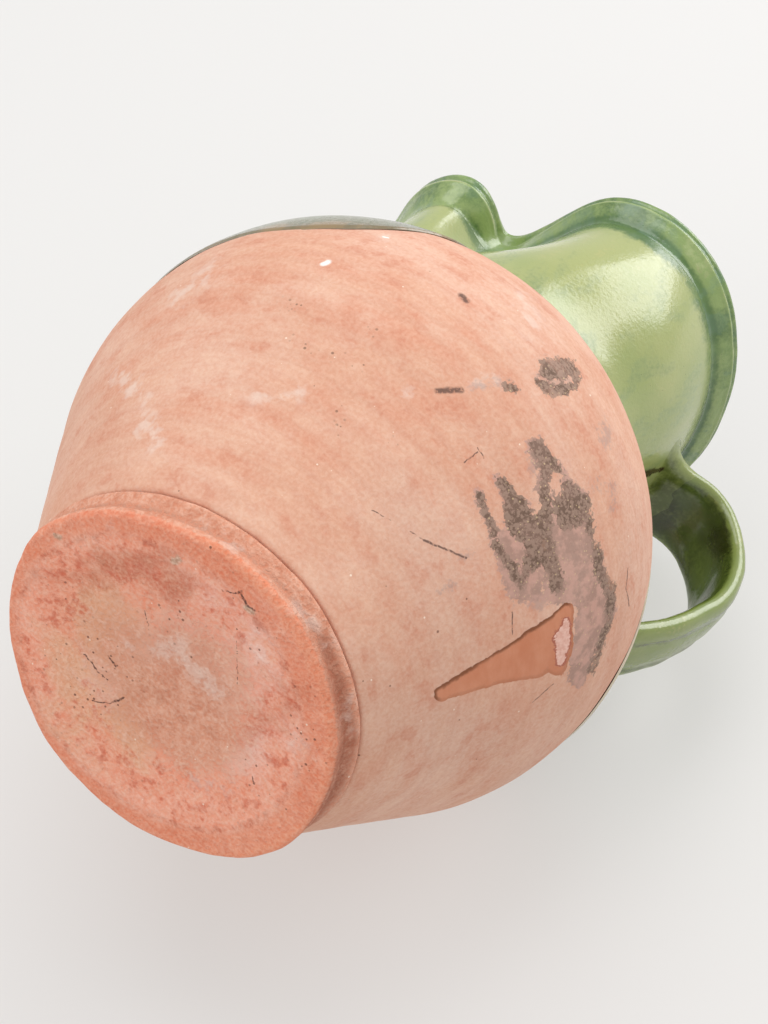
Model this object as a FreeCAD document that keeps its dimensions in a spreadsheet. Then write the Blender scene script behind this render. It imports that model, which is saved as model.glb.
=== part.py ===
import FreeCAD, Part
import math
import os

import Sketcher
from FreeCAD import Placement, Rotation, Vector

# Oinochoe jug: a wheel-thrown terracotta pitcher with a pinched pouring spout, standing on its foot.
# +Z runs up the thrown axis, the foot rests on Z = 0, the spout points to -X and the handle to +X.

# Driving lengths in millimetres
LENGTHS = {
    # Foot disc
    "foot_radius": 50.0,
    "foot_height": 10.2,
    "foot_edge": 2.5,
    "foot_band_curve": 5.5,
    "foot_top_radius": 51.8,
    "dish_radius": 41.0,
    "dish_depth": 2.5,
    # Belly
    "base_radius": 52.7,
    "belly_radius": 90.0,
    "belly_height": 99.0,
    "flank_curve": 74.0,
    "shoulder_curve": 65.0,
    "neck_radius": 54.0,
    "neck_curve": 18.0,
    "wall": 6.0,
    # Glaze, drawn at the thickness of a heavy coat
    "glaze": 0.6,
    "spout_glaze_depth": 69.4,
    "side_glaze_depth": 11.4,
    "handle_glaze_depth": 62.0,
    # Neck and mouth
    "neck_height": 64.6,
    "mouth_radius": 62.0,
    "neck_wall": 5.5,
    # Rolled lip
    "lip_height": 14.0,
    "lip_roll": 5.2,
    "lip_ridge": 2.2,
    "lip_crest": 1.2,
    # Handle strap
    "handle_stand_out": 9.2,
    "handle_drop": 15.8,
    "handle_bend": 15.5,
    "handle_hip_curve": 41.8,
    "handle_run_in": 17.0,
    "handle_top_width": 31.0,
    "handle_end_width": 24.0,
    "handle_thickness": 7.4,
    # Clay pads that lute the handle to the pot
    "upper_pad_height": 12.5,
    "upper_pad_width": 20.5,
    "upper_pad_rise": 8.5,
    "lower_pad_height": 14.0,
    "lower_pad_width": 16.5,
    "lower_pad_rise": 7.0,
    # Overrun of cutting shapes
    "overrun": 2.0,
}

# Directions along the handle's centre line, and of its seat from the shoulder's centre,
# in degrees from +X
ANGLES = {
    "handle_rise_angle": 18.0,
    "handle_bend_angle": -38.0,
    "handle_turn_angle": -104.0,
    "handle_seat_angle": 27.0,
}

# Plan of the mouth from the spout's tip round to the handle side, as shares of mouth_radius,
# with the direction in degrees at which the same point leaves the round neck below
MOUTH_PLAN_SHARES = (
    (-1.030, 0.000, 180.0),
    (-0.990, 0.250, 168.0),
    (-0.855, 0.370, 156.0),
    (-0.565, 0.290, 143.0),
    (-0.345, 0.485, 122.0),
    (-0.120, 0.910, 98.0),
    (0.275, 1.020, 74.0),
    (0.690, 0.770, 47.0),
    (0.925, 0.355, 22.0),
    (0.980, 0.000, 0.0),
)

# Neck sections: share of the neck's height, share of its widening, share of the pinch
NECK_SECTION_SHARES = (
    (0.00, 0.00, 0.00),
    (0.18, 0.06, 0.05),
    (0.42, 0.32, 0.30),
    (0.66, 0.62, 0.66),
    (0.86, 0.86, 0.92),
    (1.00, 1.00, 1.00),
)

# Lip sections: share of the lip's height, then how far each stands out of the neck,
# as a share of the size named beside it
LIP_SECTION_SHARES = (
    (0.00, "lip_ridge", 0.00),
    (0.14, "lip_ridge", 1.00),
    (0.30, "lip_ridge", 0.80),
    (0.56, "lip_roll", 0.92),
    (0.76, "lip_roll", 1.00),
    (0.92, "lip_roll", 0.72),
    (1.00, "lip_crest", 1.00),
)

# Inside of the lip: share of its height, share of the neck wall that is left
LIP_BORE_SHARES = (
    (0.00, 1.00),
    (0.35, 1.00),
    (0.80, 0.80),
    (1.00, 0.50),
)

# Lower edge of the glaze seen from the side: share of belly_radius along X,
# and share of the rise from the low edge there to the high edge in the middle
SPOUT_DIP_SHARES = ((-1.10, 0.00), (-0.70, 0.02), (-0.53, 0.12), (-0.38, 0.42), (-0.22, 0.80), (-0.05, 0.98))
HANDLE_DIP_SHARES = ((0.15, 1.00), (0.40, 0.94), (0.62, 0.76), (0.78, 0.46), (0.92, 0.12), (1.10, 0.00))

doc = FreeCAD.newDocument("oinochoe_jug")
sheet = doc.addObject("Spreadsheet::Sheet", "Sizes")


def fill_sheet():
    row = 1
    for name, value in list(LENGTHS.items()) + list(ANGLES.items()):
        sheet.set("A%d" % row, name)
        sheet.set("B%d" % row, "%.6f" % value)
        sheet.setAlias("B%d" % row, name)
        row += 1
    doc.recompute()


fill_sheet()


def size(name):
    """The number that the sheet holds under this alias."""
    return float(sheet.get(name))


def belly_centres():
    """Centres of the flank, shoulder and neck arcs of the outer profile, in the plane of the axis."""
    flank = Vector(size("belly_radius") - size("flank_curve"), size("belly_height"), 0)
    shoulder = Vector(size("belly_radius") - size("shoulder_curve"), size("belly_height"), 0)
    neck_x = size("neck_radius") + size("neck_curve")
    reach = size("shoulder_curve") + size("neck_curve")
    neck = Vector(neck_x, shoulder.y + math.sqrt(reach ** 2 - (neck_x - shoulder.x) ** 2), 0)
    return flank, shoulder, neck


NECK_RING_HEIGHT = belly_centres()[2].y
LIP_BASE_HEIGHT = NECK_RING_HEIGHT + size("neck_height")


def make_body(label):
    body = doc.addObject("PartDesign::Body", label)
    body.Label = label
    return body


def make_sketch(body, label):
    """A sketch on the body's own upright plane, with X outwards and Y up the axis."""
    upright = [item for item in body.Origin.OriginFeatures if item.Role == "XZ_Plane"][0]
    sketch = body.newObject("Sketcher::SketchObject", label)
    sketch.AttachmentSupport = [(upright, "")]
    sketch.MapMode = "FlatFace"
    return sketch


def join(sketch, first, first_end, second, second_end, kind="Coincident"):
    sketch.addConstraint(Sketcher.Constraint(kind, first, first_end, second, second_end))


def bind(sketch, kind, refs, expression, value):
    """Add a driving dimension and tie it to the sheet."""
    index = sketch.addConstraint(Sketcher.Constraint(kind, *refs, value))
    sketch.setExpression("Constraints[%d]" % index, expression)


def place_point(sketch, geometry, end, across, up):
    """Hold one point at named distances from the axis and from the resting plane."""
    for kind, (expression, value) in (("DistanceX", across), ("DistanceY", up)):
        bind(sketch, kind, (-1, 1, geometry, end), expression, value)


def named(name):
    return "Sizes." + name, size(name)


def revolve(body, sketch):
    turn = body.newObject("PartDesign::Revolution", body.Label + "_turn")
    turn.Profile = sketch
    turn.ReferenceAxis = (sketch, ["V_Axis"])
    turn.Angle = 360
    sketch.Visibility = False
    return turn


def add_arc(sketch, centre, radius, start_angle, end_angle):
    circle = Part.Circle(centre, Vector(0, 0, 1), radius)
    return sketch.addGeometry(Part.ArcOfCircle(circle, start_angle, end_angle))


def add_line(sketch, start, end):
    return sketch.addGeometry(Part.LineSegment(start, end))


def pot_side(sketch, offset, bottom):
    """Draw the pot's side as a flank line and three arcs, from a height near the foot to the neck ring.

    The offset is counted outwards from the outer face of the clay.
    """
    flank, shoulder, neck = belly_centres()
    base = Vector(size("base_radius"), size("foot_height"), 0)
    away = base - flank
    slope = math.atan2(away.y, away.x) + math.acos(size("flank_curve") / away.Length)
    outwards = Vector(math.cos(slope), math.sin(slope), 0)
    touch = flank + outwards * (size("flank_curve") + offset)
    along = Vector(outwards.y, -outwards.x, 0)
    start = touch + along * ((bottom - touch.y) / along.y)
    lean = math.atan2(neck.y - shoulder.y, neck.x - shoulder.x)
    line = add_line(sketch, start, touch)
    flank_arc = add_arc(sketch, flank, size("flank_curve") + offset, slope, 0)
    shoulder_arc = add_arc(sketch, shoulder, size("shoulder_curve") + offset, 0, lean)
    neck_arc = add_arc(sketch, neck, size("neck_curve") - offset, math.pi, math.pi + lean)
    join(sketch, line, 2, flank_arc, 1, "Tangent")
    join(sketch, flank_arc, 2, shoulder_arc, 1, "Tangent")
    join(sketch, shoulder_arc, 2, neck_arc, 2, "Tangent")
    join(sketch, neck_arc, 3, neck_arc, 1, "Horizontal")
    return line, flank_arc, shoulder_arc, neck_arc


def outer_side(sketch, construction=False):
    """The outer face of the clay, which carries the driving dimensions."""
    side = pot_side(sketch, 0, size("foot_height"))
    line, flank_arc, shoulder_arc, neck_arc = side
    place_point(sketch, line, 1, named("base_radius"), named("foot_height"))
    place_point(sketch, flank_arc, 2, named("belly_radius"), named("belly_height"))
    join(sketch, flank_arc, 3, flank_arc, 2, "Horizontal")
    for arc, name in ((flank_arc, "flank_curve"), (shoulder_arc, "shoulder_curve"), (neck_arc, "neck_curve")):
        expression, value = named(name)
        bind(sketch, "Radius", (arc,), expression, value)
    expression, value = named("neck_radius")
    bind(sketch, "DistanceX", (-1, 1, neck_arc, 1), expression, value)
    for item in side if construction else ():
        sketch.setConstruction(item, True)
    return side


def offset_side(sketch, guide, offset, bottom):
    """A face parallel to the outer one: offset and bottom are pairs of expression and number."""
    side = pot_side(sketch, offset[1], bottom[1])
    sketch.addConstraint(Sketcher.Constraint("Parallel", side[0], guide[0]))
    bind(sketch, "DistanceY", (-1, 1, side[0], 1), *bottom)
    for arc, guide_arc in zip(side[1:], guide[1:]):
        join(sketch, arc, 3, guide_arc, 3)
    bind(sketch, "Radius", (side[1],), "Sizes.flank_curve + " + offset[0], size("flank_curve") + offset[1])
    return side


def end_points(sketch, side):
    """The lowest and highest points of a side, with the geometry and end that hold them."""
    low = (side[0], 1, sketch.getPoint(side[0], 1))
    high = (side[3], 1, sketch.getPoint(side[3], 1))
    return low, high


def close_shell(sketch, near, far):
    for first, second in zip(end_points(sketch, near), end_points(sketch, far)):
        rung = add_line(sketch, first[2], second[2])
        join(sketch, rung, 1, first[0], first[1])
        join(sketch, rung, 2, second[0], second[1])


def close_to_axis(sketch, side):
    low, high = end_points(sketch, side)
    floor = add_line(sketch, low[2], Vector(0, low[2].y, 0))
    axis = add_line(sketch, Vector(0, low[2].y, 0), Vector(0, high[2].y, 0))
    top = add_line(sketch, Vector(0, high[2].y, 0), high[2])
    join(sketch, floor, 1, low[0], low[1])
    join(sketch, floor, 2, axis, 1)
    join(sketch, axis, 2, top, 1)
    join(sketch, top, 2, high[0], high[1])
    for level in (floor, top):
        sketch.addConstraint(Sketcher.Constraint("Horizontal", level))
    join(sketch, axis, 1, -1, 1, "Vertical")
    sketch.addConstraint(Sketcher.Constraint("Vertical", axis))


CLAY_BOTTOM = named("foot_height")
INSIDE_FACE = ("(-Sizes.wall)", -size("wall"))
LINING_FACE = ("(-Sizes.wall - Sizes.glaze)", -size("wall") - size("glaze"))
LINING_FLOOR = ("Sizes.foot_height + Sizes.glaze", size("foot_height") + size("glaze"))
COAT_FACE = named("glaze")


def build_foot_disc():
    """Turned disc: a dish underneath, a rounded resting edge and a bulging band up to the groove."""
    body = make_body("foot_disc")
    sketch = make_sketch(body, "foot_profile")
    dish_curve = (size("dish_radius") ** 2 + size("dish_depth") ** 2) / (2 * size("dish_depth"))
    dish_centre = Vector(0, size("dish_depth") - dish_curve, 0)
    dish_half = math.asin(size("dish_radius") / dish_curve)
    dish = add_arc(sketch, dish_centre, dish_curve, math.pi / 2 - dish_half, math.pi / 2)
    edge_centre = Vector(size("foot_radius") - size("foot_edge"), size("foot_edge"), 0)
    ring = add_line(sketch, Vector(size("dish_radius"), 0, 0), Vector(edge_centre.x, 0, 0))
    edge = add_arc(sketch, edge_centre, size("foot_edge"), -math.pi / 2, 0)
    lower = Vector(size("foot_radius"), size("foot_edge"), 0)
    upper = Vector(size("foot_top_radius"), size("foot_height"), 0)
    chord = upper - lower
    depth = math.sqrt(size("foot_band_curve") ** 2 - (chord.Length / 2) ** 2)
    band_centre = (lower + upper) / 2 + Vector(-chord.y, chord.x, 0).normalize() * depth
    first = lower - band_centre
    last = upper - band_centre
    band = add_arc(sketch, band_centre, size("foot_band_curve"),
                   math.atan2(first.y, first.x), math.atan2(last.y, last.x))
    top = add_line(sketch, upper, Vector(0, size("foot_height"), 0))
    axis = add_line(sketch, Vector(0, size("foot_height"), 0), Vector(0, size("dish_depth"), 0))
    join(sketch, dish, 1, ring, 1)
    join(sketch, ring, 2, edge, 1, "Tangent")
    join(sketch, edge, 2, band, 1)
    join(sketch, band, 2, top, 1)
    join(sketch, top, 2, axis, 1)
    join(sketch, axis, 2, dish, 2)
    join(sketch, edge, 3, edge, 2, "Horizontal")
    join(sketch, axis, 1, -1, 1, "Vertical")
    join(sketch, dish, 3, -1, 1, "Vertical")
    sketch.addConstraint(Sketcher.Constraint("Vertical", axis))
    sketch.addConstraint(Sketcher.Constraint("Horizontal", top))
    place_point(sketch, ring, 1, named("dish_radius"), ("0 mm", 0))
    place_point(sketch, edge, 2, named("foot_radius"), named("foot_edge"))
    place_point(sketch, band, 2, named("foot_top_radius"), named("foot_height"))
    bind(sketch, "DistanceY", (-1, 1, dish, 2), *named("dish_depth"))
    bind(sketch, "Radius", (edge,), *named("foot_edge"))
    bind(sketch, "Radius", (band,), *named("foot_band_curve"))
    revolve(body, sketch)
    return body


def build_belly_wall():
    body = make_body("belly_wall")
    sketch = make_sketch(body, "belly_profile")
    outside = outer_side(sketch)
    inside = offset_side(sketch, outside, INSIDE_FACE, CLAY_BOTTOM)
    close_shell(sketch, outside, inside)
    revolve(body, sketch)
    return body


def build_pot_envelope():
    """The belly as if it were solid, to seat what is luted to its outside."""
    body = make_body("pot_envelope")
    sketch = make_sketch(body, "envelope_profile")
    close_to_axis(sketch, outer_side(sketch))
    revolve(body, sketch)
    return body


def build_inner_glaze():
    """Thin lining that covers the floor and the inside of the belly."""
    body = make_body("inner_glaze")
    sketch = make_sketch(body, "lining_profile")
    close_to_axis(sketch, offset_side(sketch, outer_side(sketch, True), INSIDE_FACE, CLAY_BOTTOM))
    revolve(body, sketch)
    hollow = make_sketch(body, "lining_hollow")
    close_to_axis(hollow, offset_side(hollow, outer_side(hollow, True), LINING_FACE, LINING_FLOOR))
    groove = body.newObject("PartDesign::Groove", "inner_glaze_hollow")
    groove.Profile = hollow
    groove.ReferenceAxis = (hollow, ["V_Axis"])
    groove.Angle = 360
    hollow.Visibility = False
    return body


def closed_spline(points, height):
    curve = Part.BSplineCurve()
    curve.interpolate([Vector(x, y, height) for x, y in points], PeriodicFlag=True)
    return curve


def mouth_points(spread, pinch, stand_out=0.0):
    """Plan of the neck or mouth: spread widens the round neck, pinch presses it to the mouth's plan."""
    round_radius = size("neck_radius") + (size("mouth_radius") - size("neck_radius")) * spread
    half = []
    for share_x, share_y, angle in MOUTH_PLAN_SHARES:
        ring = Vector(math.cos(math.radians(angle)), math.sin(math.radians(angle)), 0) * round_radius
        mouth = Vector(share_x, share_y, 0) * size("mouth_radius")
        half.append(ring + (mouth - ring) * pinch)
    other = [Vector(point.x, -point.y, 0) for point in half]
    loop = half[:1] + other[1:-1] + half[:0:-1]
    return offset_plan([(point.x, point.y) for point in loop], stand_out)


def offset_plan(points, stand_out):
    """Move each plan point out along the plan's own normal."""
    curve = closed_spline(points, 0)
    moved = []
    for x, y in points:
        tangent = curve.tangent(curve.parameter(Vector(x, y, 0)))[0]
        normal = Vector(tangent.y, -tangent.x, 0)
        moved.append((x + normal.x * stand_out, y + normal.y * stand_out))
    return moved


def add_section(label, points, height):
    section = doc.addObject("Part::Feature", label)
    section.Shape = Part.Wire(closed_spline(points, height).toShape())
    section.Visibility = False
    return section


def add_loft(label, sections):
    loft = doc.addObject("Part::Loft", label)
    loft.Sections = sections
    loft.Solid = True
    loft.Visibility = False
    return loft


def add_cut(label, base, tool):
    cut = doc.addObject("Part::Cut", label)
    cut.Label = label
    cut.Base = base
    cut.Tool = tool
    return cut


def neck_loft(label, stand_out):
    """Loft from the round neck ring to the pinched mouth, moved in or out by stand_out."""
    sections = []
    for number, (rise, spread, pinch) in enumerate(NECK_SECTION_SHARES):
        level = NECK_RING_HEIGHT + size("neck_height") * rise
        points = mouth_points(spread, pinch, stand_out)
        sections.append(add_section("%s_section_%d" % (label, number), points, level))
    return add_loft(label, sections)


def build_neck_collar():
    outside = neck_loft("neck_outside", 0.0)
    inside = neck_loft("neck_inside", -size("neck_wall"))
    return outside, add_cut("neck_collar", outside, inside)


def build_lip_roll():
    """Rolled lip: a fine ridge over a groove, then the full roll, following the pinched mouth."""
    outer_sections = []
    for number, (rise, name, share) in enumerate(LIP_SECTION_SHARES):
        level = LIP_BASE_HEIGHT + size("lip_height") * rise
        points = mouth_points(1.0, 1.0, size(name) * share)
        outer_sections.append(add_section("lip_outside_section_%d" % number, points, level))
    bore_sections = []
    for number, (rise, left) in enumerate(LIP_BORE_SHARES):
        level = LIP_BASE_HEIGHT + size("lip_height") * rise
        points = mouth_points(1.0, 1.0, -size("neck_wall") * left)
        bore_sections.append(add_section("lip_inside_section_%d" % number, points, level))
    outside = add_loft("lip_outside", outer_sections)
    inside = add_loft("lip_inside", bore_sections)
    return outside, add_cut("lip_roll", outside, inside)


def direction(angle):
    return Vector(math.cos(math.radians(angle)), 0, math.sin(math.radians(angle)))


def left_of(angle):
    """Normal on the left of a direction in the plane of the handle, which is its outer side here."""
    return direction(angle + 90)


def shoulder_point(angle):
    """Point of the shoulder in the plane of the handle, at an angle from the shoulder's centre."""
    shoulder = belly_centres()[1]
    return Vector(shoulder.x, 0, shoulder.y) + direction(angle) * size("shoulder_curve")


def turn_arc(start, angle, end_angle, radius):
    """Middle and end of an arc that leaves start at one angle and turns down to another."""
    centre = start - left_of(angle) * radius
    middle = centre + left_of((angle + end_angle) / 2) * radius
    return middle, centre + left_of(end_angle) * radius


def handle_stations():
    """Points of the handle's path: straight run, bend, hip and the long arc down to the seat."""
    rise = size("handle_rise_angle")
    bend = size("handle_bend_angle")
    turn = size("handle_turn_angle")
    run_end = Vector(size("mouth_radius") + size("handle_stand_out"), 0, LIP_BASE_HEIGHT - size("handle_drop"))
    root = run_end - direction(rise) * size("handle_run_in")
    bend_middle, bend_end = turn_arc(run_end, rise, bend, size("handle_bend"))
    hip_middle, hip_end = turn_arc(bend_end, bend, turn, size("handle_hip_curve"))
    seat = shoulder_point(size("handle_seat_angle"))
    chord = seat - hip_end
    chord_angle = math.degrees(math.atan2(chord.z, chord.x))
    finish = 2 * chord_angle - turn
    back_curve = chord.Length / (2 * math.sin(math.radians(turn - chord_angle)))
    back_middle = turn_arc(hip_end, turn, finish, back_curve)[0]
    return root, run_end, bend_middle, bend_end, hip_middle, hip_end, back_middle, seat, finish


def strap_section(label, centre, angle, width):
    """Outline of the strap square to its path: flat faces and fully rounded edges."""
    half_thick = size("handle_thickness") / 2
    half_flat = width / 2 - half_thick
    out = left_of(angle) * half_thick
    side = Vector(0, half_flat, 0)
    tip = Vector(0, half_flat + half_thick, 0)
    section = doc.addObject("Part::Feature", label)
    section.Shape = Part.Wire([
        Part.LineSegment(centre - side + out, centre + side + out).toShape(),
        Part.Arc(centre + side + out, centre + tip, centre + side - out).toShape(),
        Part.LineSegment(centre + side - out, centre - side - out).toShape(),
        Part.Arc(centre - side - out, centre - tip, centre - side + out).toShape(),
    ])
    section.Visibility = False
    return section


def handle_sweep():
    root, run_end, bend_middle, bend_end, hip_middle, hip_end, back_middle, seat, finish = handle_stations()
    path = doc.addObject("Part::Feature", "handle_path")
    path.Shape = Part.Wire([
        Part.LineSegment(root, run_end).toShape(),
        Part.Arc(run_end, bend_middle, bend_end).toShape(),
        Part.Arc(bend_end, hip_middle, hip_end).toShape(),
        Part.Arc(hip_end, back_middle, seat).toShape(),
    ])
    path.Visibility = False
    top = strap_section("handle_top", root, size("handle_rise_angle"), size("handle_top_width"))
    foot = strap_section("handle_foot", seat, finish, size("handle_end_width"))
    sweep = doc.addObject("Part::Sweep", "handle_sweep")
    sweep.Sections = [top, foot]
    sweep.Spine = (path, ["Edge1", "Edge2", "Edge3", "Edge4"])
    sweep.Solid = True
    sweep.Frenet = False
    sweep.Visibility = False
    return sweep


def add_pad(label, height, width, rise, centre, tilt):
    """Clay pad: an ellipsoid, flat to the wall, half sunk in what it is pressed to."""
    pad = doc.addObject("Part::Ellipsoid", label)
    pad.setExpression("Radius1", "Sizes." + height)
    pad.setExpression("Radius2", "Sizes." + rise)
    pad.setExpression("Radius3", "Sizes." + width)
    pad.Placement = Placement(centre, Rotation(Vector(0, 1, 0), 180 - tilt))
    pad.Visibility = False
    return pad


def build_handle(envelope, neck_outside):
    """The strap and its two pads, each trimmed to the face that it is pressed against."""
    sweep = handle_sweep()
    strap = add_cut("handle_strap", add_cut("strap_off_neck", sweep, neck_outside), envelope)
    run_end = handle_stations()[1]
    reach = size("handle_stand_out") + size("upper_pad_rise") / 2
    upper_centre = run_end - direction(size("handle_rise_angle")) * reach
    upper = add_pad("upper_pad", "upper_pad_height", "upper_pad_width", "upper_pad_rise", upper_centre, 0)
    upper_luting = add_cut("handle_luting_upper", add_cut("upper_pad_off_neck", upper, neck_outside), sweep)
    tilt = size("handle_seat_angle")
    lower = add_pad("lower_pad", "lower_pad_height", "lower_pad_width", "lower_pad_rise",
                    shoulder_point(tilt), tilt)
    lower_luting = add_cut("handle_luting_lower", add_cut("lower_pad_off_pot", lower, envelope), sweep)
    return sweep, strap, upper_luting, lower, lower_luting


def dip_region():
    """Everything below the lower edge of the glaze, as seen from the side."""
    low_spout = NECK_RING_HEIGHT - size("spout_glaze_depth")
    low_handle = NECK_RING_HEIGHT - size("handle_glaze_depth")
    high = NECK_RING_HEIGHT - size("side_glaze_depth")
    reach = size("belly_radius")
    points = [Vector(reach * x, 0, low_spout + (high - low_spout) * rise) for x, rise in SPOUT_DIP_SHARES]
    points += [Vector(reach * x, 0, low_handle + (high - low_handle) * rise) for x, rise in HANDLE_DIP_SHARES]
    curve = Part.BSplineCurve()
    curve.interpolate(points)
    under = [Vector(points[-1].x, 0, 0), Vector(points[0].x, 0, 0)]
    outline = Part.Wire([
        curve.toShape(),
        Part.LineSegment(points[-1], under[0]).toShape(),
        Part.LineSegment(under[0], under[1]).toShape(),
        Part.LineSegment(under[1], points[0]).toShape(),
    ])
    half_depth = size("belly_radius") + size("overrun")
    face = Part.Face(outline)
    face.translate(Vector(0, -half_depth, 0))
    region = doc.addObject("Part::Feature", "bare_region")
    region.Shape = face.extrude(Vector(0, 2 * half_depth, 0))
    region.Visibility = False
    return region


def build_shoulder_glaze(sweep, lower_pad):
    """Coat over the shoulder, cut off at its wavy lower edge and round the handle's foot."""
    body = make_body("shoulder_coat")
    sketch = make_sketch(body, "coat_profile")
    clay = outer_side(sketch)
    close_shell(sketch, clay, offset_side(sketch, clay, COAT_FACE, CLAY_BOTTOM))
    revolve(body, sketch)
    dipped = add_cut("coat_dipped", body, dip_region())
    round_strap = add_cut("coat_round_strap", dipped, sweep)
    return add_cut("shoulder_glaze", round_strap, lower_pad)


def check_document(nodes):
    for item in doc.Objects:
        if "Invalid" in item.State or "Error" in item.State:
            raise RuntimeError("%s failed: %s" % (item.Label, item.getStatusString()))
    for node in nodes:
        if node.Shape.isNull() or not node.Shape.isValid():
            raise RuntimeError("%s has no valid shape" % node.Label)


def main():
    foot = build_foot_disc()
    belly = build_belly_wall()
    envelope = build_pot_envelope()
    inner_glaze = build_inner_glaze()
    doc.recompute()
    neck_outside, neck = build_neck_collar()
    lip_outside, lip = build_lip_roll()
    sweep, strap, upper_luting, lower_pad, lower_luting = build_handle(envelope, neck_outside)
    shoulder_glaze = build_shoulder_glaze(sweep, lower_pad)
    doc.recompute()
    nodes = [foot, belly, neck, lip, strap, upper_luting, lower_luting, shoulder_glaze, inner_glaze]
    check_document(nodes)
    os.makedirs("parts", exist_ok=True)
    for node in nodes:
        box = node.Shape.optimalBoundingBox(False, False)
        print("%-22s solids %d volume %9.0f mm3, X %.1f..%.1f Y %.1f..%.1f Z %.1f..%.1f" % (
            node.Label, len(node.Shape.Solids), node.Shape.Volume,
            box.XMin, box.XMax, box.YMin, box.YMax, box.ZMin, box.ZMax))
        node.Shape.exportStep("parts/%s.step" % node.Label)


main()
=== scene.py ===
import math

import bpy
import numpy as np
from mathutils import Matrix, Vector, noise


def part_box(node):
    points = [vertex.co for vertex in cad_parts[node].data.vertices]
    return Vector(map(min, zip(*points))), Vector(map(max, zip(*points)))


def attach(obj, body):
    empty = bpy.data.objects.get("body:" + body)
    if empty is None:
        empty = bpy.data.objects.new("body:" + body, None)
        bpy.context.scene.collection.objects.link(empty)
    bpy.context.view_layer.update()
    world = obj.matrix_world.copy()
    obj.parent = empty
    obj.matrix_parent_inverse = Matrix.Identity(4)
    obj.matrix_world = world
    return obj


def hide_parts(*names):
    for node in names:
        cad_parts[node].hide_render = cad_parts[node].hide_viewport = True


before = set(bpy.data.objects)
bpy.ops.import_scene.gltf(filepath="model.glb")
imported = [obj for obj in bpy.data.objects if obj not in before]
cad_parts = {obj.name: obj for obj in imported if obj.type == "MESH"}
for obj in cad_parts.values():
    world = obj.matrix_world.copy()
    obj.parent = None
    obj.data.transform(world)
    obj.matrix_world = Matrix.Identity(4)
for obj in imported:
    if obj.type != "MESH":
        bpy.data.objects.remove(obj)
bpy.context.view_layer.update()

# Lengths are written in millimetres and multiplied by MM. Waves of unevenness are (height, scale, seed),
# and values from 0 to 1 are shares unless a comment says otherwise
MM = 0.001

# Levels and widths taken from the frame
FOOT_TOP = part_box("foot_disc")[1].z
RING_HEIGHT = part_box("belly_wall")[1].z
LIP_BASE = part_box("lip_roll")[0].z
LIP_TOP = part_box("lip_roll")[1].z
BELLY_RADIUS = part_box("belly_wall")[1].x

# Pot profile
BASE_RADIUS = 52.7 * MM
BELLY_HEIGHT = 99 * MM
FLANK_CURVE = 74 * MM
SHOULDER_CURVE = 65 * MM
NECK_CURVE = 18 * MM
NECK_RADIUS = 54 * MM
WALL = 6 * MM
GLAZE = 0.6 * MM
MERGE_GAP = 0.02 * MM

# Mouth
MOUTH_RADIUS = 62 * MM
NECK_WALL = 5.5 * MM
LIP_ROLL = 5.2 * MM

# Plan of the mouth from the spout's tip to the handle side as shares of MOUTH_RADIUS,
# with the direction in degrees at which the same point leaves the round neck below
MOUTH_PLAN_SHARES = (
    (-1.020, 0.000, 180.0), (-0.985, 0.255, 168.0), (-0.865, 0.375, 156.0), (-0.590, 0.275, 143.0),
    (-0.350, 0.508, 122.0), (-0.120, 0.905, 98.0), (0.275, 0.998, 74.0), (0.690, 0.765, 47.0),
    (0.925, 0.355, 22.0), (0.980, 0.000, 0.0),
)

# Neck sections: share of the neck's height, share of its widening, share of the pinch
NECK_SECTION_SHARES = (
    (0.00, 0.00, 0.00), (0.18, 0.08, 0.06), (0.42, 0.37, 0.34),
    (0.66, 0.69, 0.72), (0.86, 0.90, 0.95), (1.00, 0.99, 1.00),
)

# The camera of the photograph in the jug's frame: its place, the direction of the picture's right side
# and of its lower side, and its focal length in pixels of the 768 by 1024 picture
CAMERA_PLACE = Vector((54.19, -385.56, -347.59)) * MM
PICTURE_RIGHT = Vector((0.7446, -0.4696, 0.4744)).normalized()
PICTURE_DOWN = Vector((0.6624, 0.6073, -0.4386)).normalized()
FOCAL_PIXELS = 2000
PICTURE_WIDTH, PICTURE_HEIGHT = 768, 1024
SENSOR = 36

# The pale plane on which the jug lies in the picture: its normal, towards the jug
REST_NORMAL = Vector((-0.4063, -0.8847, -0.2286)).normalized()


def deselect():
    bpy.ops.object.select_all(action="DESELECT")


def make_active(piece):
    deselect()
    piece.select_set(True)
    bpy.context.view_layer.objects.active = piece


def close_up(piece):
    """Merge doubles at seams and poles and point the faces outwards."""
    make_active(piece)
    bpy.ops.object.mode_set(mode="EDIT")
    bpy.ops.mesh.select_all(action="SELECT")
    bpy.ops.mesh.remove_doubles(threshold=MERGE_GAP)
    bpy.ops.mesh.dissolve_degenerate(threshold=MERGE_GAP / 10)
    bpy.ops.mesh.normals_make_consistent(inside=False)
    bpy.ops.object.mode_set(mode="OBJECT")


def smooth(piece, angle=40):
    make_active(piece)
    bpy.ops.object.shade_smooth_by_angle(angle=math.radians(angle))


def turned(name, outline, steps):
    """Lathe a closed outline of (radius, height) points round the pot's axis."""
    deselect()
    bpy.ops.mesh.primitive_circle_add(vertices=len(outline), radius=BELLY_RADIUS)
    piece = bpy.context.object
    piece.name = name
    for vertex, (radius, height) in zip(piece.data.vertices, outline):
        vertex.co = (radius, 0, height)
    bpy.ops.object.mode_set(mode="EDIT")
    bpy.ops.mesh.select_all(action="SELECT")
    bpy.ops.mesh.spin(steps=steps, angle=2 * math.pi, center=(0, 0, 0), axis=(0, 0, 1))
    bpy.ops.object.mode_set(mode="OBJECT")
    close_up(piece)
    return piece


def write_field(piece, name, values):
    """Keep one number for each point of the mesh under a name that its material reads."""
    field = piece.data.attributes.new(name, "FLOAT", "POINT")
    field.data.foreach_set("value", np.asarray(values, np.float32))


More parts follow.
